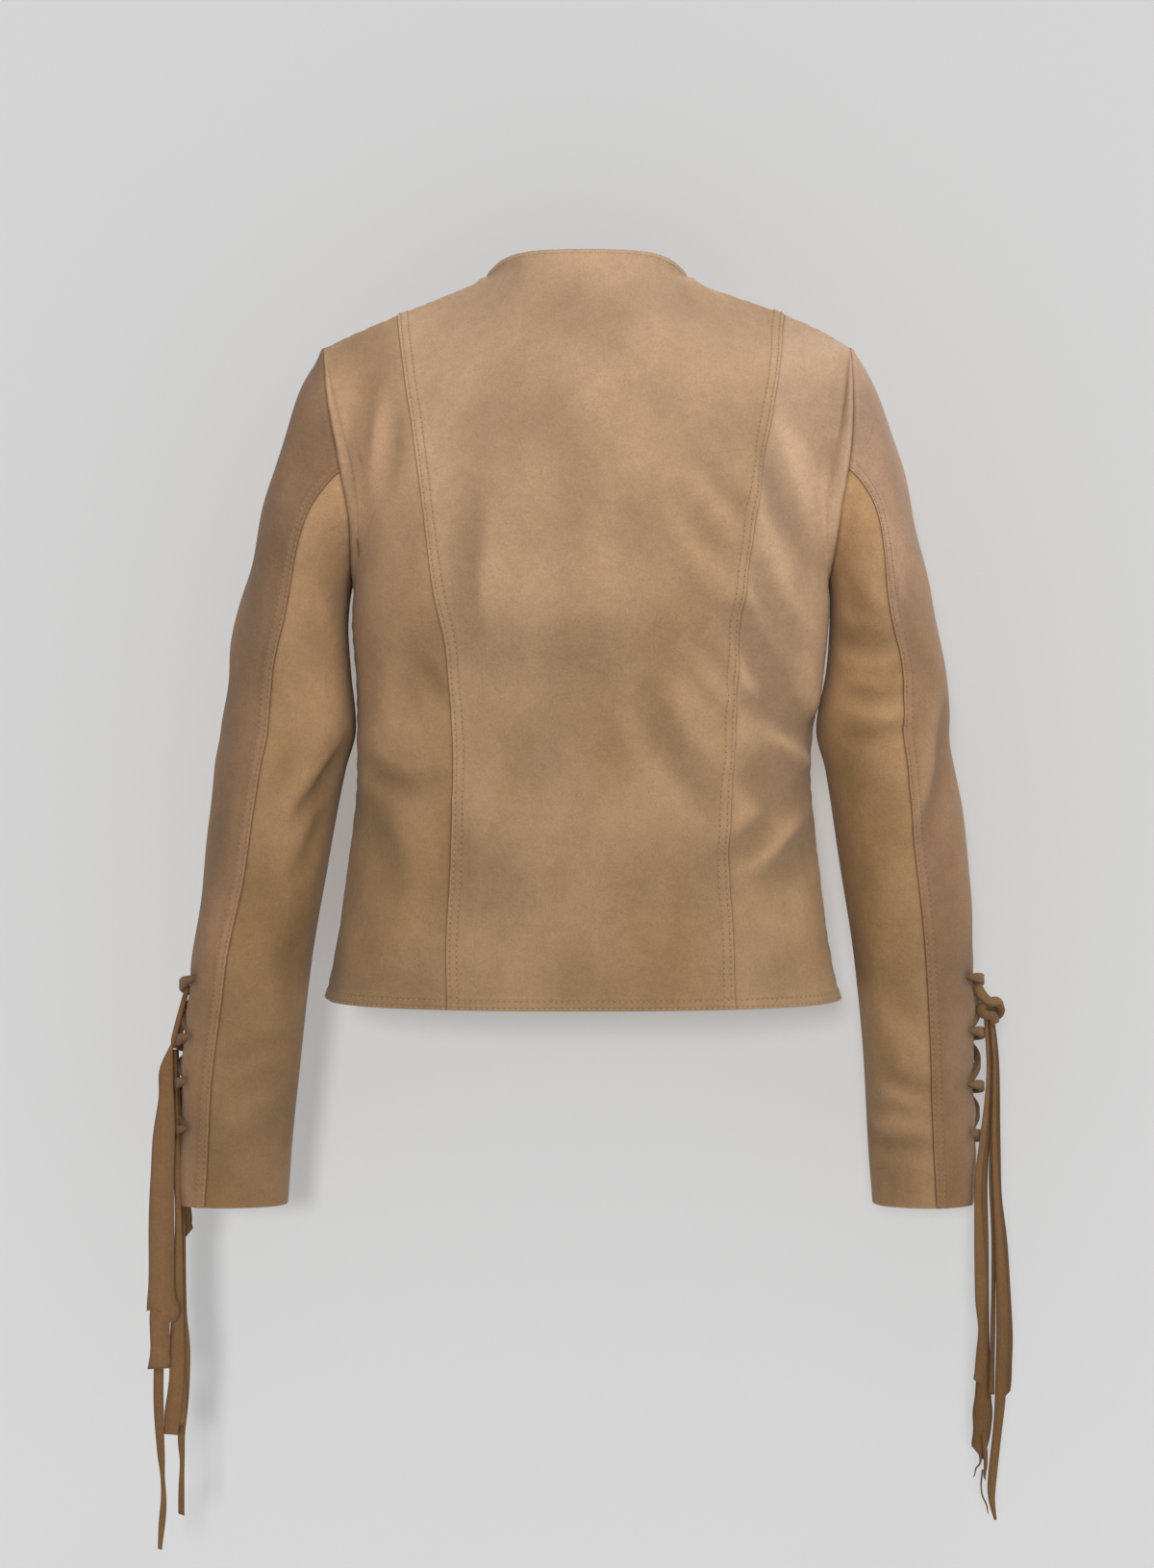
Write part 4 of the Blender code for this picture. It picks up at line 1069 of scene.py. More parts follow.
def body_panel(name, face, u, edges, flip, look):
    w = BODY_ROWS[:, None] + 0 * u
    base, normals = body(face, u, w), body_normals(face, u, w)
    top, _ = distance_to(base[-1], base)
    first, _ = distance_to(base[:, 0], base)
    last, _ = distance_to(base[:, -1], base)
    share = smoothstep(1, 15, top) * smoothstep(0, SEAM_CALM, first) * smoothstep(0, SEAM_CALM, last)
    corners = bell((np.abs(u) - NECK_AT) / NECK_SPREAD)
    corners = corners + bell((np.abs(u) - SHOULDER_AT) / SHOULDER_SPREAD)
    share = share * np.clip(1.4 * corners, 0, 1) * smoothstep(0.9, 1.2, w)
    base = evened(base, averaged(grid_normals(base, normals)), share)
    smooth = smoothstep(0, 0.5, share)[..., None]
    normals = averaged(normals * (1 - smooth) + grid_normals(base, normals) * smooth)
    normals = moved_in(normals, seam_normals(face, u[-1])[None], top)
    side, _ = distance_to(body(face, np.sign(u.mean()) * 1.0, BODY_ROWS), base)
    free = smoothstep(0, SEAM_CALM, side) if "centre" not in name else 1.0
    folds = softened(body_folds(face, base) + unevenness(base))
    lift = folds * free * smoothstep(1, TOP_CALM, top)
    # the folds also paint shade into their troughs and light onto their ridges
    return panel(name, base, normals, edges, lift, flip, look, dark=-painted_fold_shading(folds))


left_seam, right_seam = princess_u(-1, BODY_ROWS), princess_u(1, BODY_ROWS)
ONE = np.ones_like(BODY_ROWS)


def on_back(u, w):
    return body(BACK, u, w)


neck_left, neck_right = NECK_AT / left_seam[-1], NECK_AT / right_seam[-1]
stops = (-left_seam, -left_seam * neck_left, right_seam * neck_right, right_seam)
centre_u = columns_over(on_back, stops, BODY_ROWS, ((True, False), (False, False), (False, True)))
neck = np.flatnonzero(np.abs(centre_u[-1]) <= NECK_AT + 1e-6)
neck_line = np.s_[-1, neck[0] : neck[-1] + 1]
body_panel(
    "centre_back_suede",
    BACK,
    centre_u,
    (
        (SEAM_FIRST, "turned", SEAM_ROWS),
        (SEAM_LAST, "turned", SEAM_ROWS),
        (HEM_LINE, "turned", HEM_ROWS),
        (neck_line, "turned", NECK_ROWS),
        (np.s_[-1, : neck[0] + 1], "plain", ()),
        (np.s_[-1, neck[-1] :], "plain", ()),
    ),
    False,
    "centre",
)
for hand, side, seam in ((-1, "left", left_seam), (1, "right", right_seam)):
    corner = (SHOULDER_AT - seam[-1]) / (1 - seam[-1])
    stops = (hand * seam, hand * (seam + (1 - seam) * corner), hand * ONE)
    side_u = columns_over(on_back, stops, BODY_ROWS, ((True, False), (False, True)))
    body_panel(
        "side_back_" + side + "_suede",
        BACK,
        side_u,
        (
            (SEAM_FIRST, "covered", ()),
            (SEAM_LAST, "plain", ()),
            (HEM_LINE, "turned", HEM_ROWS),
            (np.s_[-1], "plain", ()),
        ),
        hand < 0,
        "side_" + side,
    )

# %% Front panels
FRONT_EDGE = 0.0015


def on_front(u, w):
    return body(FRONT, u, w)


for hand, side in ((-1, "left"), (1, "right")):
    stops = [hand * place * ONE for place in (FRONT_EDGE, NECK_AT, SHOULDER_AT, 1.0)]
    front_u = columns_over(on_front, stops, BODY_ROWS, ((True, False), (False, False), (False, True)))
    neck_end = int(np.argmin(np.abs(np.abs(front_u[-1]) - NECK_AT))) + 1
    body_panel(
        "front_" + side + "_suede",
        FRONT,
        front_u,
        (
            (SEAM_FIRST, "turned", SEAM_ROWS),
            (SEAM_LAST, "plain", ()),
            (HEM_LINE, "turned", HEM_ROWS),
            (np.s_[-1, :neck_end], "turned", NECK_ROWS),
            (np.s_[-1, neck_end - 1 :], "plain", ()),
        ),
        hand > 0,
        "side_" + side,
    )

# %% [markdown]
# ## The sleeves
# Each sleeve has a wide top piece and a narrower under piece. The top piece is turned and sewn
# down over the under piece behind. A slit opens on the outside of the wrist, and its two edges
# are drawn together by a lace, so that they wave between the lace holes.

# %% Sleeve panels
SLEEVE_ROWS = rows_over(150, 441, True, True)
LACE_HEIGHTS = {-1: (-527.0, -570.0, -603.0, -639.0), 1: (-523.0, -563.0, -603.0, -640.0)}
LACE_BEHIND, LACE_BEFORE = 0.112, 0.060
# how far the lace draws the edges of the slit together, and how far along the slit each time
VENT_WAVE, WAVE_HALF, VENT_LEAST = 0.009, 7.0, 0.004
VENT_DENT, DENT_HALF, DENT_AROUND = 3.0, 9.0, 0.055
# painted shadow round each lace hole, where the lace goes in, and how far it spreads
HOLE_PAINTED_SHADOW, HOLE_HALF = 1.1, 5.2
LACE_DROP = {-1: 15.0, 1: 9.0}
# turns between which folds fade out, behind and before, where the arm rests on the body
RESTS_BEHIND, RESTS_BEFORE = (0.38, 0.46), (0.66, 0.58)
ARMHOLE_CALM = 18
# turns at which the height of the back sleeve seam is read
SEAM_TURN = 0.24


def height_row(height):
    """The place along a sleeve of a height below the arm line, on the outside of the arm."""
    start = ARM_LINE + ARM_TILT
    return 1 + (height - start) / (CUFF - start)


def sleeve_panel(name, hand, turns, edges, look, hole=None):
    s = SLEEVE_ROWS[:, None] + 0 * turns
    base, normals = sleeve(hand, turns, s), sleeve_normals(hand, turns, s)
    around = (turns[0] + 1) % 1
    place = hand * (SHOULDER_AT + (1 - SHOULDER_AT) * 2 * np.minimum(around, 1 - around))
    seam = np.where((around <= 0.5)[:, None], seam_normals(BACK, place), seam_normals(FRONT, place))
    armhole, _ = distance_to(base[0], base)
    normals = moved_in(normals, seam[None], armhole)
    beside = smoothstep(*RESTS_BEHIND, turns) * smoothstep(*RESTS_BEFORE, turns)
    folds = softened(sleeve_folds(hand, turns, base) + unevenness(base))
    lift = folds * (1 - beside) * smoothstep(1, ARMHOLE_CALM, armhole)
    # painted shade in fold troughs and painted highlight on ridges; painted shadows round the lace
    # holes are added below
    dark = -painted_fold_shading(folds)
    if hole is not None:
        beside_vent = bell((turns - VENT_TURN) / DENT_AROUND)
        for height in LACE_HEIGHTS[hand]:
            drawn_in = bell((base[..., 2] - height + 1) / DENT_HALF)
            lift = lift - VENT_DENT * beside_vent * drawn_in
            half_drop = LACE_DROP[hand] / 2
            for place, z in ((LACE_BEHIND, height + half_drop), (-LACE_BEFORE, height - half_drop)):
                middle = sleeve(hand, VENT_TURN + place, height_row(z))
                # a painted shadow round the lace hole
                dark += HOLE_PAINTED_SHADOW * bell(length_of(base - middle)[..., 0] / HOLE_HALF)
    return panel(name, base, normals, edges, lift, hand < 0, look, hole, dark)


vent_from = height_row(VENT_TOP)
opened = np.clip(SLEEVE_ROWS - vent_from, 0, None)
for hand, side in ((-1, "left"), (1, "right")):

    def on_sleeve(turns, s, hand=hand):
        return sleeve(hand, turns, s)

    heights = sleeve(hand, SEAM_TURN, SLEEVE_ROWS)[..., 2]
    seam = eased(BACK_SEAM, 1 if hand < 0 else 2, heights)
    same = np.ones_like(seam)
    wide = VENT_NARROW + (VENT_WIDE - VENT_NARROW) * opened / opened.max()
    outside = ARM_LINE + ARM_TILT + (CUFF - ARM_LINE - ARM_TILT) * (SLEEVE_ROWS - 1)
    for laced in LACE_HEIGHTS[hand]:
        wide = wide - VENT_WAVE * bell((outside - laced) / WAVE_HALF) * (opened > 0)
    wide = np.maximum(wide, VENT_LEAST)
    stops = ((FRONT_SEAM - 1) * same, VENT_TURN - wide, VENT_TURN + wide, seam)
    turns = columns_over(on_sleeve, stops, SLEEVE_ROWS, ((True, True), (False, False), (True, True)))
    open_at = int(np.argmin(np.abs(SLEEVE_ROWS - vent_from)))
    low = int(np.argmin(np.abs(turns[-1] - stops[1][-1])))
    high = int(np.argmin(np.abs(turns[-1] - stops[2][-1])))
    hole = np.zeros((turns.shape[0] - 1, turns.shape[1] - 1), bool)
    hole[open_at:, low:high] = True
    sleeve_panel(
        "top_sleeve_" + side + "_suede",
        hand,
        turns,
        (
            (SEAM_FIRST, "plain", ()),
            (SEAM_LAST, "turned", ARM_SEAM_ROWS),
            (HEM_LINE, "plain", ()),
            (np.s_[-1, : low + 1], "cut", ()),
            (np.s_[-1, high:], "cut", ()),
            (np.s_[open_at:, low], "cut", ()),
            (np.s_[open_at:, high], "cut", ()),
        ),
        "sleeve_" + side,
        hole,
    )
    stops = (seam, FRONT_SEAM * same)
    turns = columns_over(on_sleeve, stops, SLEEVE_ROWS, ((True, True),))
    sleeve_panel(
        "under_sleeve_" + side + "_suede",
        hand,
        turns,
        (
            (SEAM_FIRST, "covered", ()),
            (SEAM_LAST, "plain", ()),
            (HEM_LINE, "plain", ()),
            (np.s_[-1], "cut", ()),
        ),
        "under_" + side,
    )

# %% [markdown]
# ## Stitches
# Every turned edge is held by two rows of short thread stitches. A row is a line on the
# finished cloth. Geometry Nodes divide that line at the stitch pitch and set one small
# grain-shaped stitch on each point, turned along the line and half sunk in the suede. Half a
# pitch further on, a flat dark grain stands for the needle hole between two stitches. The rows
# stop a few millimetres before the ends of a seam, where the next piece of cloth begins.

# %% Lines for the stitches
# the rows and columns of a grid that are sewn, without the closest ones at both ends
SEWN = slice(5, -5)
# how many points into a panel a stitch row is looked for
GRID_DEEP = 20


def line_beside(name, side, apart, part):
    """Points and directions on the finished cloth, at one distance from a side of a panel."""
    made = MADE[name]
    grids = []
    for grid in (made["points"], made["normals"]):
        if side in ("hem", "top"):
            grid = np.swapaxes(grid[::-1] if side == "top" else grid, 0, 1)
        elif side == "last":
            grid = grid[:, ::-1]
        grids.append(grid[part, :GRID_DEEP])
    points, normals = grids
    step = length_of(np.diff(points, axis=1))[..., 0]
    far = np.concatenate([np.zeros((len(points), 1)), np.cumsum(step, axis=1)], axis=1)
    placed, facing = [], []
    for length, row, out in zip(far, points, normals):
        placed.append([np.interp(apart, length, row[:, axis]) for axis in range(3)])
        facing.append([np.interp(apart, length, out[:, axis]) for axis in range(3)])
    return np.array(placed), unit(np.array(facing))


print("stitch rows beside a seam:", SEAM_ROWS, "mm from its edge")

# %% The stitching tree
STITCH_SIZES = {"Pitch": 4.1, "Stitch Length": 2.9, "Thread Thickness": 0.75, "Hole Width": 1.15}
THINNEST, THICKEST = 0.86, 1.12
HOLE_FLATNESS = 0.45
HALF_A_PITCH = 0.5


def stitching_tree():
    """Grains along a line: thread stitches, and between them flat ones that stand for holes."""
    tree = bpy.data.node_groups.new("stitching", "GeometryNodeTree")
    sockets = {"Geometry": "Geometry", **{label: "Float" for label in STITCH_SIZES}}
    sockets.update({"Seed": "Int", "Thread": "Material", "Needle Hole": "Material"})
    for label, kind in sockets.items():
        tree.interface.new_socket(label, in_out="INPUT", socket_type="NodeSocket" + kind)
    tree.interface.new_socket("Geometry", in_out="OUTPUT", socket_type="NodeSocketGeometry")
    given = put(tree, "NodeGroupInput").outputs
    curve = put(tree, "GeometryNodeMeshToCurve", {"Mesh": given["Geometry"]}).outputs["Curve"]
    along = {"Curve": curve, "Length": given["Pitch"]}
    divided = put(tree, "GeometryNodeResampleCurve", along, mode="LENGTH").outputs["Curve"]
    ball = {"Segments": 6, "Rings": 4, "Radius": 0.5}
    grain = put(tree, "GeometryNodeMeshUVSphere", ball).outputs["Mesh"]
    tangent = put(tree, "GeometryNodeInputTangent").outputs[0]
    facing = {"Name": "facing"}
    facing = put(tree, "GeometryNodeInputNamedAttribute", facing, data_type="FLOAT_VECTOR")
    lie = put(tree, "FunctionNodeAlignRotationToVector", {"Vector": tangent}, axis="X")
    stand = {"Rotation": lie.outputs[0], "Vector": facing.outputs["Attribute"]}
    stand = put(tree, "FunctionNodeAlignRotationToVector", stand, axis="Z", pivot_axis="X")

    def box(long, wide, thick):
        return put(tree, "ShaderNodeCombineXYZ", {"X": long, "Y": wide, "Z": thick}).outputs[0]

    def grains(points, size, look):
        placed = {"Points": points, "Instance": grain, "Rotation": stand.outputs[0], "Scale": size}
        placed = put(tree, "GeometryNodeInstanceOnPoints", placed).outputs["Instances"]
        real = put(tree, "GeometryNodeRealizeInstances", {0: placed}).outputs[0]
        return put(tree, "GeometryNodeSetMaterial", {"Geometry": real, "Material": look}).outputs[0]

    vary = {2: THINNEST, 3: THICKEST, "Seed": given["Seed"]}
    vary = put(tree, "FunctionNodeRandomValue", vary, data_type="FLOAT").outputs[1]
    thread = given["Thread Thickness"]
    size = scaled(tree, box(given["Stitch Length"], thread, thread), vary)
    hole = given["Hole Width"]
    ahead = scaled(tree, tangent, times(tree, given["Pitch"], HALF_A_PITCH))
    between = put(tree, "GeometryNodeSetPosition", {"Geometry": divided, "Offset": ahead}).outputs[0]
    pit = box(hole, hole, times(tree, hole, HOLE_FLATNESS))
    both = put(tree, "GeometryNodeJoinGeometry")
    fill(tree, both, {0: grains(between, pit, given["Needle Hole"])})
    fill(tree, both, {0: grains(divided, size, given["Thread"])})
    fill(tree, put(tree, "NodeGroupOutput"), {0: both.outputs[0]})
    return tree


STITCHING = stitching_tree()
print("stitching:", len(STITCHING.nodes), "nodes")

# %% Thread
THREAD_SUNK = 0.10


def thread_material(name, colour):
    material = bpy.data.materials.new(name)
    material.use_nodes = True
    tree = material.node_tree
    place = put(tree, "ShaderNodeTexCoord").outputs["Object"]
    worn = noise(tree, place, 300.0, 2.0, 0.6, 3.0)
    look = {
        "Base Color": blended(tree, worn, colour, toned(colour, (0.7, 0.7, 0.7))),
        "Roughness": 0.7,
        "Sheen Weight": 0.2,
    }
    fill(tree, tree.nodes["Principled BSDF"], look)
    return material


THREADS = {
    "body": thread_material("thread_body", TAN),
    "sleeve": thread_material("thread_sleeve", toned(TAN, (0.76, 0.76, 0.80))),
}
# a needle hole is dark only from the shade inside it, so this dark grain is painted shade
NEEDLE_HOLE = thread_material("needle_hole", toned(TAN, (0.36, 0.34, 0.32)))


def made_plain(source, modifier):
    """The evaluated result of a modifier as a plain mesh object of the same name."""
    name = source.name
    evaluated = source.evaluated_get(bpy.context.evaluated_depsgraph_get())
    mesh = bpy.data.meshes.new_from_object(evaluated)
    source.modifiers.remove(modifier)
    bpy.data.objects.remove(source)
    return link(name, mesh)


def stitch(name, lines, thread, seed):
    """Sew along several lines, each a pair of points and directions in millimetres."""
    points, edges, facing = [], [], []
    for placed, out in lines:
        sunk = placed - out * THREAD_SUNK
        edges += [(len(points) + k, len(points) + k + 1) for k in range(len(sunk) - 1)]
        points += (sunk * MM).tolist()
        facing += out.tolist()
    mesh = bpy.data.meshes.new(name)
    mesh.from_pydata(points, edges, [])
    layer = mesh.attributes.new("facing", "FLOAT_VECTOR", "POINT")
    layer.data.foreach_set("vector", np.array(facing, np.float32).ravel())
    source = link(name, mesh)
    modifier = source.modifiers.new("stitching", "NODES")
    modifier.node_group = STITCHING
    values = {label: size * MM for label, size in STITCH_SIZES.items()}
    values.update({"Seed": seed, "Thread": thread, "Needle Hole": NEEDLE_HOLE})
    for item in STITCHING.interface.items_tree:
        if item.in_out == "INPUT" and item.name in values:
            modifier[item.identifier] = values[item.name]
    piece = made_plain(source, modifier)
    piece.data.shade_smooth()
    print(f"{name}: {len(piece.data.polygons)} faces")
    return piece


# %% Sew the seams
# panel, thread, seed, then each sewn side with its rows and the part of it that is sewn
BACK_NECK, FRONT_NECK = slice(neck[0], neck[-1] + 1), slice(0, neck_end)
HEM_SEWN = ("hem", HEM_ROWS, SEWN)
FIRST_SEWN, LAST_SEWN = ("first", SEAM_ROWS, SEWN), ("last", SEAM_ROWS, SEWN)
back_sides = (FIRST_SEWN, LAST_SEWN, HEM_SEWN, ("top", NECK_ROWS, BACK_NECK))
front_sides = (HEM_SEWN, FIRST_SEWN, ("top", NECK_ROWS, FRONT_NECK))
SEWING = [("centre_back", "body", 1, back_sides)]
for side, seed in (("left", 2), ("right", 3)):
    SEWING += [
        ("side_back_" + side, "body", seed, (HEM_SEWN,)),
        ("front_" + side, "body", seed + 2, front_sides),
        ("top_sleeve_" + side, "sleeve", seed + 4, (("last", ARM_SEAM_ROWS, SEWN),)),
    ]
STITCHES = {}
for node, thread, seed, sides in SEWING:
    name = node + "_suede"
    lines = [line_beside(name, side, row, part) for side, rows, part in sides for row in rows]
    STITCHES[name] = stitch("stitches_" + node, lines, THREADS[thread], seed)

# %% [markdown]
# ## Lace and fringe
# A narrow suede lace runs through four pairs of holes in each cuff. Its upper end is knotted
# and hangs down as a bunch of long cut strips. A strip is swept by hand along its own path,
# because a bevelled curve can't lean, narrow and end in a slanted cut as a real strip does.

# %% Sweep a strap along a path
STRAP_SECTION = (
    (-1.0, 0.0), (-0.94, -0.62), (-0.70, -1.0), (0.0, -1.0), (0.70, -1.0), (0.94, -0.62),
    (1.0, 0.0), (0.94, 0.62), (0.70, 1.0), (0.0, 1.0), (-0.70, 1.0), (-0.94, 0.62),
)
# painted shade along both edges of every strap, which rounds it and parts the strips
EDGE_PAINTED_SHADE = 0.55


def smooth_path(points, count):
    """A smooth run of count points through given ones, each a row of numbers."""
    at = np.linspace(0, len(points) - 1, count)
    knots = np.array(points, float)
    slope = np.gradient(knots, axis=0)
    k = np.clip(at.astype(int), 0, len(points) - 2)
    t = (at - k)[:, None]
    return hermite(knots[k], knots[k + 1], slope[k], slope[k + 1], t)


def strap(path, across, widths, thick, cup=0.0, slant=0.0, tone=0.0):
    """Points, faces and tones of a flat strap, rounded, with painted shade at its edges, closed at its
    ends.
    """
    along = unit(np.gradient(path, axis=0))
    face = unit(np.cross(along, across))
    side = unit(np.cross(face, along))
    section = np.array(STRAP_SECTION)
    count = len(section)
    a, b = section[:, 0][None, :, None], section[:, 1][None, :, None]
    half = (np.asarray(widths) / 2)[:, None, None]
    rings = path[:, None] + side[:, None] * half * a
    rings = rings + face[:, None] * (thick / 2 * b + cup * half * a * a)
    end = smoothstep(len(path) - 5, len(path) - 1, np.arange(len(path)))[:, None, None]
    rings = rings + along[:, None] * slant * a * end
    faces = [tuple(range(count))[::-1]]
    for k in range(len(path) - 1):
        for c in range(count):
            n = (c + 1) % count
            faces.append((k * count + c, k * count + n, (k + 1) * count + n, (k + 1) * count + c))
    last = (len(path) - 1) * count
    faces.append(tuple(range(last, last + count)))
    tones = tone - EDGE_PAINTED_SHADE * np.abs(section[:, 0]) ** 3 + np.zeros((len(path), 1))
    return rings.reshape(-1, 3), faces, tones.ravel()


def joined(name, parts, look):
    """Several straps in one mesh."""
    points, faces, tones = [], [], []
    for strap_points, strap_faces, strap_tones in parts:
        first = len(points)
        tones += strap_tones.tolist()
        points += (strap_points * MM).tolist()
        faces += [tuple(first + corner for corner in face) for face in strap_faces]
    mesh = bpy.data.meshes.new(name)
    mesh.from_pydata(points, [], faces)
    mesh.materials.append(SUEDES[look])
    mesh.shade_smooth()
    store(mesh, "tone", np.clip(tones, -1, 1))
    print(f"{name}: {len(faces)} faces")
    return link(name, mesh)


# %% [markdown]
# The lace crosses the slit from a hole behind to a slightly lower one before it, as a rounded
# tab that bulges over both edges. From there it runs down, closer to the cuff and narrower, to
# the hole behind of the next pair.

# %% Laces
LACE_WIDTH, LACE_THICK = 8.2, 4.6
LACE_BULGE, LACE_BETWEEN, LACE_SUNK = 4.6, 1.6, 3.0
LACE_STEPS = 190


def cuff_point(hand, turns, height, lift):
    """A point lifted off the cuff, and the direction away from it."""
    s = height_row(height)
    on = sleeve(hand, turns, s)
    out = unit((on - sleeve(hand, turns + 0.5, s)) * np.array([1, 1, 0]))
    return on + out * lift, out


def lace_rows(hand):
    """Places, width and tone along a lace: rounded tabs outside and narrow runs between them. The tone
    paints light on the tabs and shade where the lace dips.
    """
    rows, heights = [], LACE_HEIGHTS[hand]
    reach, fall = LACE_BEHIND + LACE_BEFORE, LACE_DROP[hand]
    steps = np.linspace(0, 1, 8)[:-1]
    for k, height in enumerate(heights):
        for t in steps:
            turns, swell = VENT_TURN + LACE_BEHIND - reach * t, math.sin(math.pi * t)
            lift = (LACE_BULGE + LACE_SUNK) * swell**0.5 - LACE_SUNK
            place, _ = cuff_point(hand, turns, height + fall * (0.5 - t), lift)
            # painted highlight on the top of each tab, painted shade where it dips into a hole
            tone = 0.35 - 0.9 * (1 - swell) ** 1.5
            rows.append((*place, LACE_WIDTH * (0.40 + 0.66 * swell**0.6), tone))
        if k < len(heights) - 1:
            drop = heights[k + 1] - height + fall
            for t in steps:
                turns, swell = VENT_TURN - LACE_BEFORE + reach * t, math.sin(math.pi * t)
                lift = (LACE_BETWEEN + LACE_SUNK) * swell - LACE_SUNK
                place, _ = cuff_point(hand, turns, height - fall / 2 + drop * t, lift)
                # the runs between the tabs lie in painted shade
                rows.append((*place, LACE_WIDTH * 0.75, -0.50))
    return rows


LACES = {}
for hand, side in ((-1, "left"), (1, "right")):
    values = smooth_path(lace_rows(hand), LACE_STEPS)
    across = np.tile([0.0, 0.15, 1.0], (len(values), 1))
    lace = strap(values[:, :3], across, values[:, 3], LACE_THICK, tone=values[:, 4:])
    LACES[side] = joined("lace_" + side + "_suede", [lace], "fringe")

# %% [markdown]
# The strips are listed by the places their middle lines pass in the photograph. They start in
# the knot and end apart, some cut square, some slanted and some drawn to a point.

# %% Fringe strips and knots
STRIP_THICK = 1.3
STRIP_STEPS, KNOT_STEPS = 72, 110
# slant of the cut end, twist, tone (painted shade on the strips that hang further back), then x, y, z
# and width down the strip
STRIPS_LEFT = (
    (-1.5, 0.1, 0.05, (
        (-307, 6, -571, 1.8), (-311, 6, -591, 10.7), (-311, 6, -612, 12.1),
        (-313, 7, -645, 17.1), (-314, 7, -680, 18.5), (-314, 7, -730, 19.2),
        (-314, 7, -758, 21.7), (-313, 7, -768, 24.6), (-316, 8, -775, 16.4),
        (-316, 8, -794, 15.0), (-317, 8, -811, 17.1),
    )),
    (0.3, 0.35, -0.08, (
        (-308, 10, -574, 3.6), (-313, 10, -638, 7.1), (-315, 11, -723, 7.8),
        (-317, 11, -814, 7.8), (-317, 12, -848, 7.1), (-316, 12, -873, 6.4),
        (-315, 13, -891, 3.6), (-314, 13, -910, 4.6), (-315, 14, -929, 5.0),
        (-316, 14, -946, 3.2),
    )),
    (0.0, -0.25, 0.0, (
        (-306, 12, -575, 4.3), (-305, 13, -638, 6.4), (-303, 13, -702, 5.0),
        (-304, 14, -774, 10.0), (-304, 15, -817, 11.4), (-307, 15, -849, 12.1),
        (-309, 16, -861, 10.4),
    )),
    (-1.5, 0.3, -0.1, (
        (-305, 15, -575, 4.3), (-303, 15, -652, 5.7), (-302, 16, -724, 4.3),
        (-301, 16, -795, 5.7), (-302, 17, -835, 8.9), (-301, 17, -854, 6.4),
    )),
    (1.0, 0.5, -0.22, (
        (-305, 18, -576, 4.3), (-302, 19, -653, 4.3), (-300, 19, -703, 4.3),
        (-299, 20, -767, 3.9), (-297, 20, -796, 5.0), (-298, 21, -818, 5.7),
        (-300, 22, -843, 6.1), (-302, 22, -864, 5.7), (-301, 23, -882, 3.9),
        (-301, 23, -900, 4.3), (-301, 24, -922, 4.7),
    )),
    (-3.0, 0.2, -0.4, (
        (-302, 20, -596, 4.3), (-300, 21, -653, 5.0), (-298, 23, -698, 10.0),
        (-297, 24, -713, 8.2),
    )),
)
STRIPS_RIGHT = (
    (1.5, 0.35, -0.05, (
        (295, 6, -548, 2.8), (297, 6, -584, 2.5), (296, 6, -612, 3.6), (293, 7, -641, 4.3),
        (290, 7, -669, 5.7), (290, 7, -698, 5.7), (292, 7, -745, 9.3), (292, 7, -762, 7.8),
        (292, 7, -780, 5.0), (292, 8, -796, 7.5), (291, 8, -810, 8.1), (289, 8, -821, 6.8),
    )),
    (0.0, 0.25, -0.12, (
        (299, 9, -548, 2.8), (302, 9, -584, 2.8), (302, 10, -641, 3.9), (304, 10, -688, 5.0),
        (307, 10, -738, 7.5), (308, 11, -777, 8.6), (307, 11, -810, 8.9), (306, 12, -835, 7.7),
        (304, 12, -859, 7.1), (301, 12, -891, 6.4), (301, 13, -908, 5.3), (304, 13, -924, 2.1),
    )),
    (0.0, -0.4, -0.50, (
        (298, 12, -548, 2.9), (301, 12, -613, 3.6), (300, 13, -670, 4.3), (302, 13, -724, 3.6),
        (302, 14, -781, 3.6), (300, 14, -831, 4.3),
    )),
    (4.0, -0.25, -0.42, (
        (297, 14, -548, 2.9), (299, 14, -613, 3.6), (295, 15, -670, 5.7), (296, 15, -724, 5.7),
        (296, 16, -795, 8.6), (295, 16, -827, 12.1), (294, 16, -843, 14.3),
        (293, 17, -860, 13.8), (290, 17, -875, 10.7),
    )),
    (-3.0, 0.4, -0.58, (
        (301, 17, -548, 2.9), (305, 17, -585, 2.9), (306, 18, -642, 3.6), (307, 18, -681, 3.2),
        (310, 18, -714, 4.3), (312, 19, -753, 5.7), (313, 19, -789, 7.1), (313, 20, -814, 7.1),
        (313, 20, -832, 5.7),
    )),
    (0.0, 0.2, -0.35, (
        (295, 15, -859, 4.3), (296, 15, -877, 3.6), (296, 16, -890, 2.1), (296, 16, -895, 0.7),
    )),
    (0.0, 0.0, -0.5, (
        (292, 15, -875, 2.1), (292, 15, -882, 1.4), (289, 16, -887, 1.1), (287, 16, -893, 0.7),
    )),
    (0.0, 0.0, -0.5, (
        (294, 15, -887, 1.4), (293, 15, -897, 1.1), (294, 16, -907, 1.1), (297, 16, -914, 1.1),
        (299, 16, -920, 0.6),
    )),
)
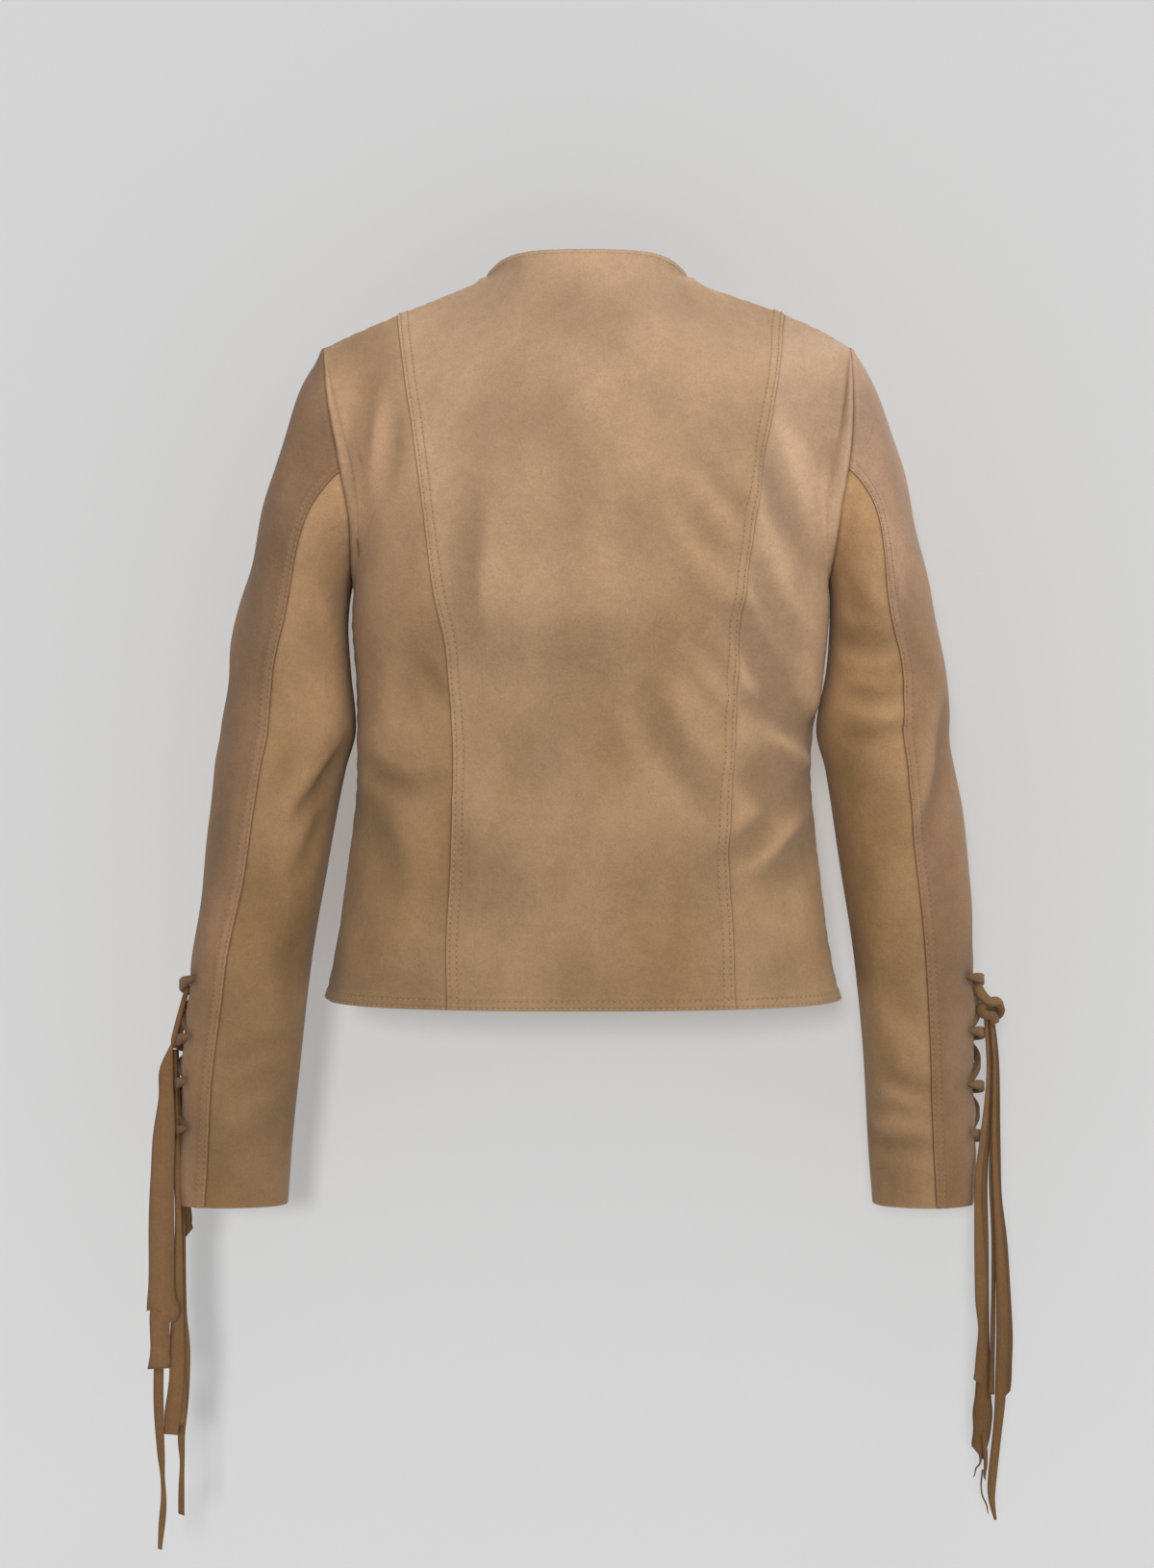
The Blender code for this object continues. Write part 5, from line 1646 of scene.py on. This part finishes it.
# the knotted end of each lace, from its hole to the top of the strips: x, y, z
KNOT_LEFT = (
    (-295.7, 10, -529.4), (-298.8, 6, -541.3), (-302.6, 5, -555.5), (-305.7, 7, -568.4),
    (-304.4, 12, -573.0), (-302.2, 15, -566.1), (-299.6, 14, -555.3), (-295.9, 12, -545.2),
)
KNOT_RIGHT = (
    (286.3, 9, -525.1), (288.4, 1, -527.5), (292.4, -1, -534.5), (297.6, 1, -538.9),
    (303.5, 3, -539.0), (306.9, 8, -543.5), (305.3, 13, -548.8), (301.9, 14, -546.7),
    (298.5, 9, -542.9), (292.7, 2, -541.8), (291.2, 1, -546.0), (295.5, 1, -548.8),
    (300.2, 5, -549.8), (302.0, 9, -554.3),
)


def fringe_strip(slant, twist, tone, rows, number):
    values = smooth_path(rows, STRIP_STEPS)
    path, widths = values[:, :3].copy(), values[:, 3]
    t = np.linspace(0, 1, STRIP_STEPS)
    path[:, 0] += 0.7 * np.sin(9 * t + 2.1 * number) * t
    path[:, 1] += 0.9 * np.sin(7 * t + 1.3 * number) * t
    widths = np.maximum(widths, 0.7) * (1 + 0.04 * np.sin(31 * t + number))
    turn = 0.10 * (number - 2) + twist * np.sin(math.pi * t) ** 2 * np.sin(5 * t + number)
    across = np.stack([np.cos(turn), np.sin(turn), 0 * t], axis=-1)
    thick = np.minimum(STRIP_THICK, 0.8 * widths)[:, None, None]
    return strap(path, across, widths, thick, 0.14 * (-1) ** number, slant, tone)


def knot_strap(points, wide, thick):
    path = smooth_path(points, KNOT_STEPS)
    middle = path.mean(axis=0)
    outwards = unit(path - middle)
    along = unit(np.gradient(path, axis=0))
    across = unit(np.cross(outwards, along) + np.array([0, 0, 0.15]))
    return strap(path, across, np.full(len(path), wide), thick, tone=0.12)


TASSELS = {}
# side, strips, then the path, width and thickness of the knot
for side, strips, knot in (
    ("left", STRIPS_LEFT, (KNOT_LEFT, 4.0, 2.2)),
    ("right", STRIPS_RIGHT, (KNOT_RIGHT, 7.4, 5.0)),
):
    parts = [fringe_strip(*strip, number) for number, strip in enumerate(strips)]
    TASSELS[side] = joined("tassel_" + side + "_suede", [*parts, knot_strap(*knot)], "fringe")

# %% [markdown]
# ## What stands for what
# Every piece above takes the place of its CAD solid and rides on the same body.

# %% Ride and replace
# piece, CAD node, material slot, width and length of the cut, area in square metres
PANELS = (
    ("centre_back_suede", "centre_back", "suede_body", (0.285, 0.575), 0.1369),
    ("side_back_left_suede", "side_back_left", "suede_body", (0.142, 0.541), 0.0530),
    ("side_back_right_suede", "side_back_right", "suede_body", (0.136, 0.543), 0.0508),
    ("front_left_suede", "front_left", "suede_body", (0.265, 0.577), 0.1140),
    ("front_right_suede", "front_right", "suede_body", (0.265, 0.577), 0.1140),
    ("top_sleeve_left_suede", "top_sleeve_left", "suede_sleeve", (0.210, 0.650), 0.1034),
    ("top_sleeve_right_suede", "top_sleeve_right", "suede_sleeve", (0.210, 0.650), 0.1043),
    ("under_sleeve_left_suede", "under_sleeve_left", "suede_under", (0.150, 0.560), 0.0667),
    ("under_sleeve_right_suede", "under_sleeve_right", "suede_under", (0.150, 0.560), 0.0627),
)


def take_place(piece, node):
    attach(piece, "root")
    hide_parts(node)


for side in ("left", "right"):
    take_place(LACES[side], "lace_" + side)
    take_place(TASSELS[side], "tassel_" + side)
for name, node, slot, flat, area in PANELS:
    piece = MADE[name]["piece"]
    take_place(piece, node)
    on_it = []
    if name in STITCHES:
        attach(STITCHES[name], "root")
        on_it.append(STITCHES[name])
    if node.startswith("top_sleeve"):
        side = node.rsplit("_", 1)[1]
        on_it += [LACES[side], TASSELS[side]]
print(len(PANELS), "panels take the places of their solids,", len(STITCHES), "of them stitched")

# %% [markdown]
# ## Finish
# The view layer is brought up to date once every piece is in place.

# %% Finish
bpy.context.view_layer.update()
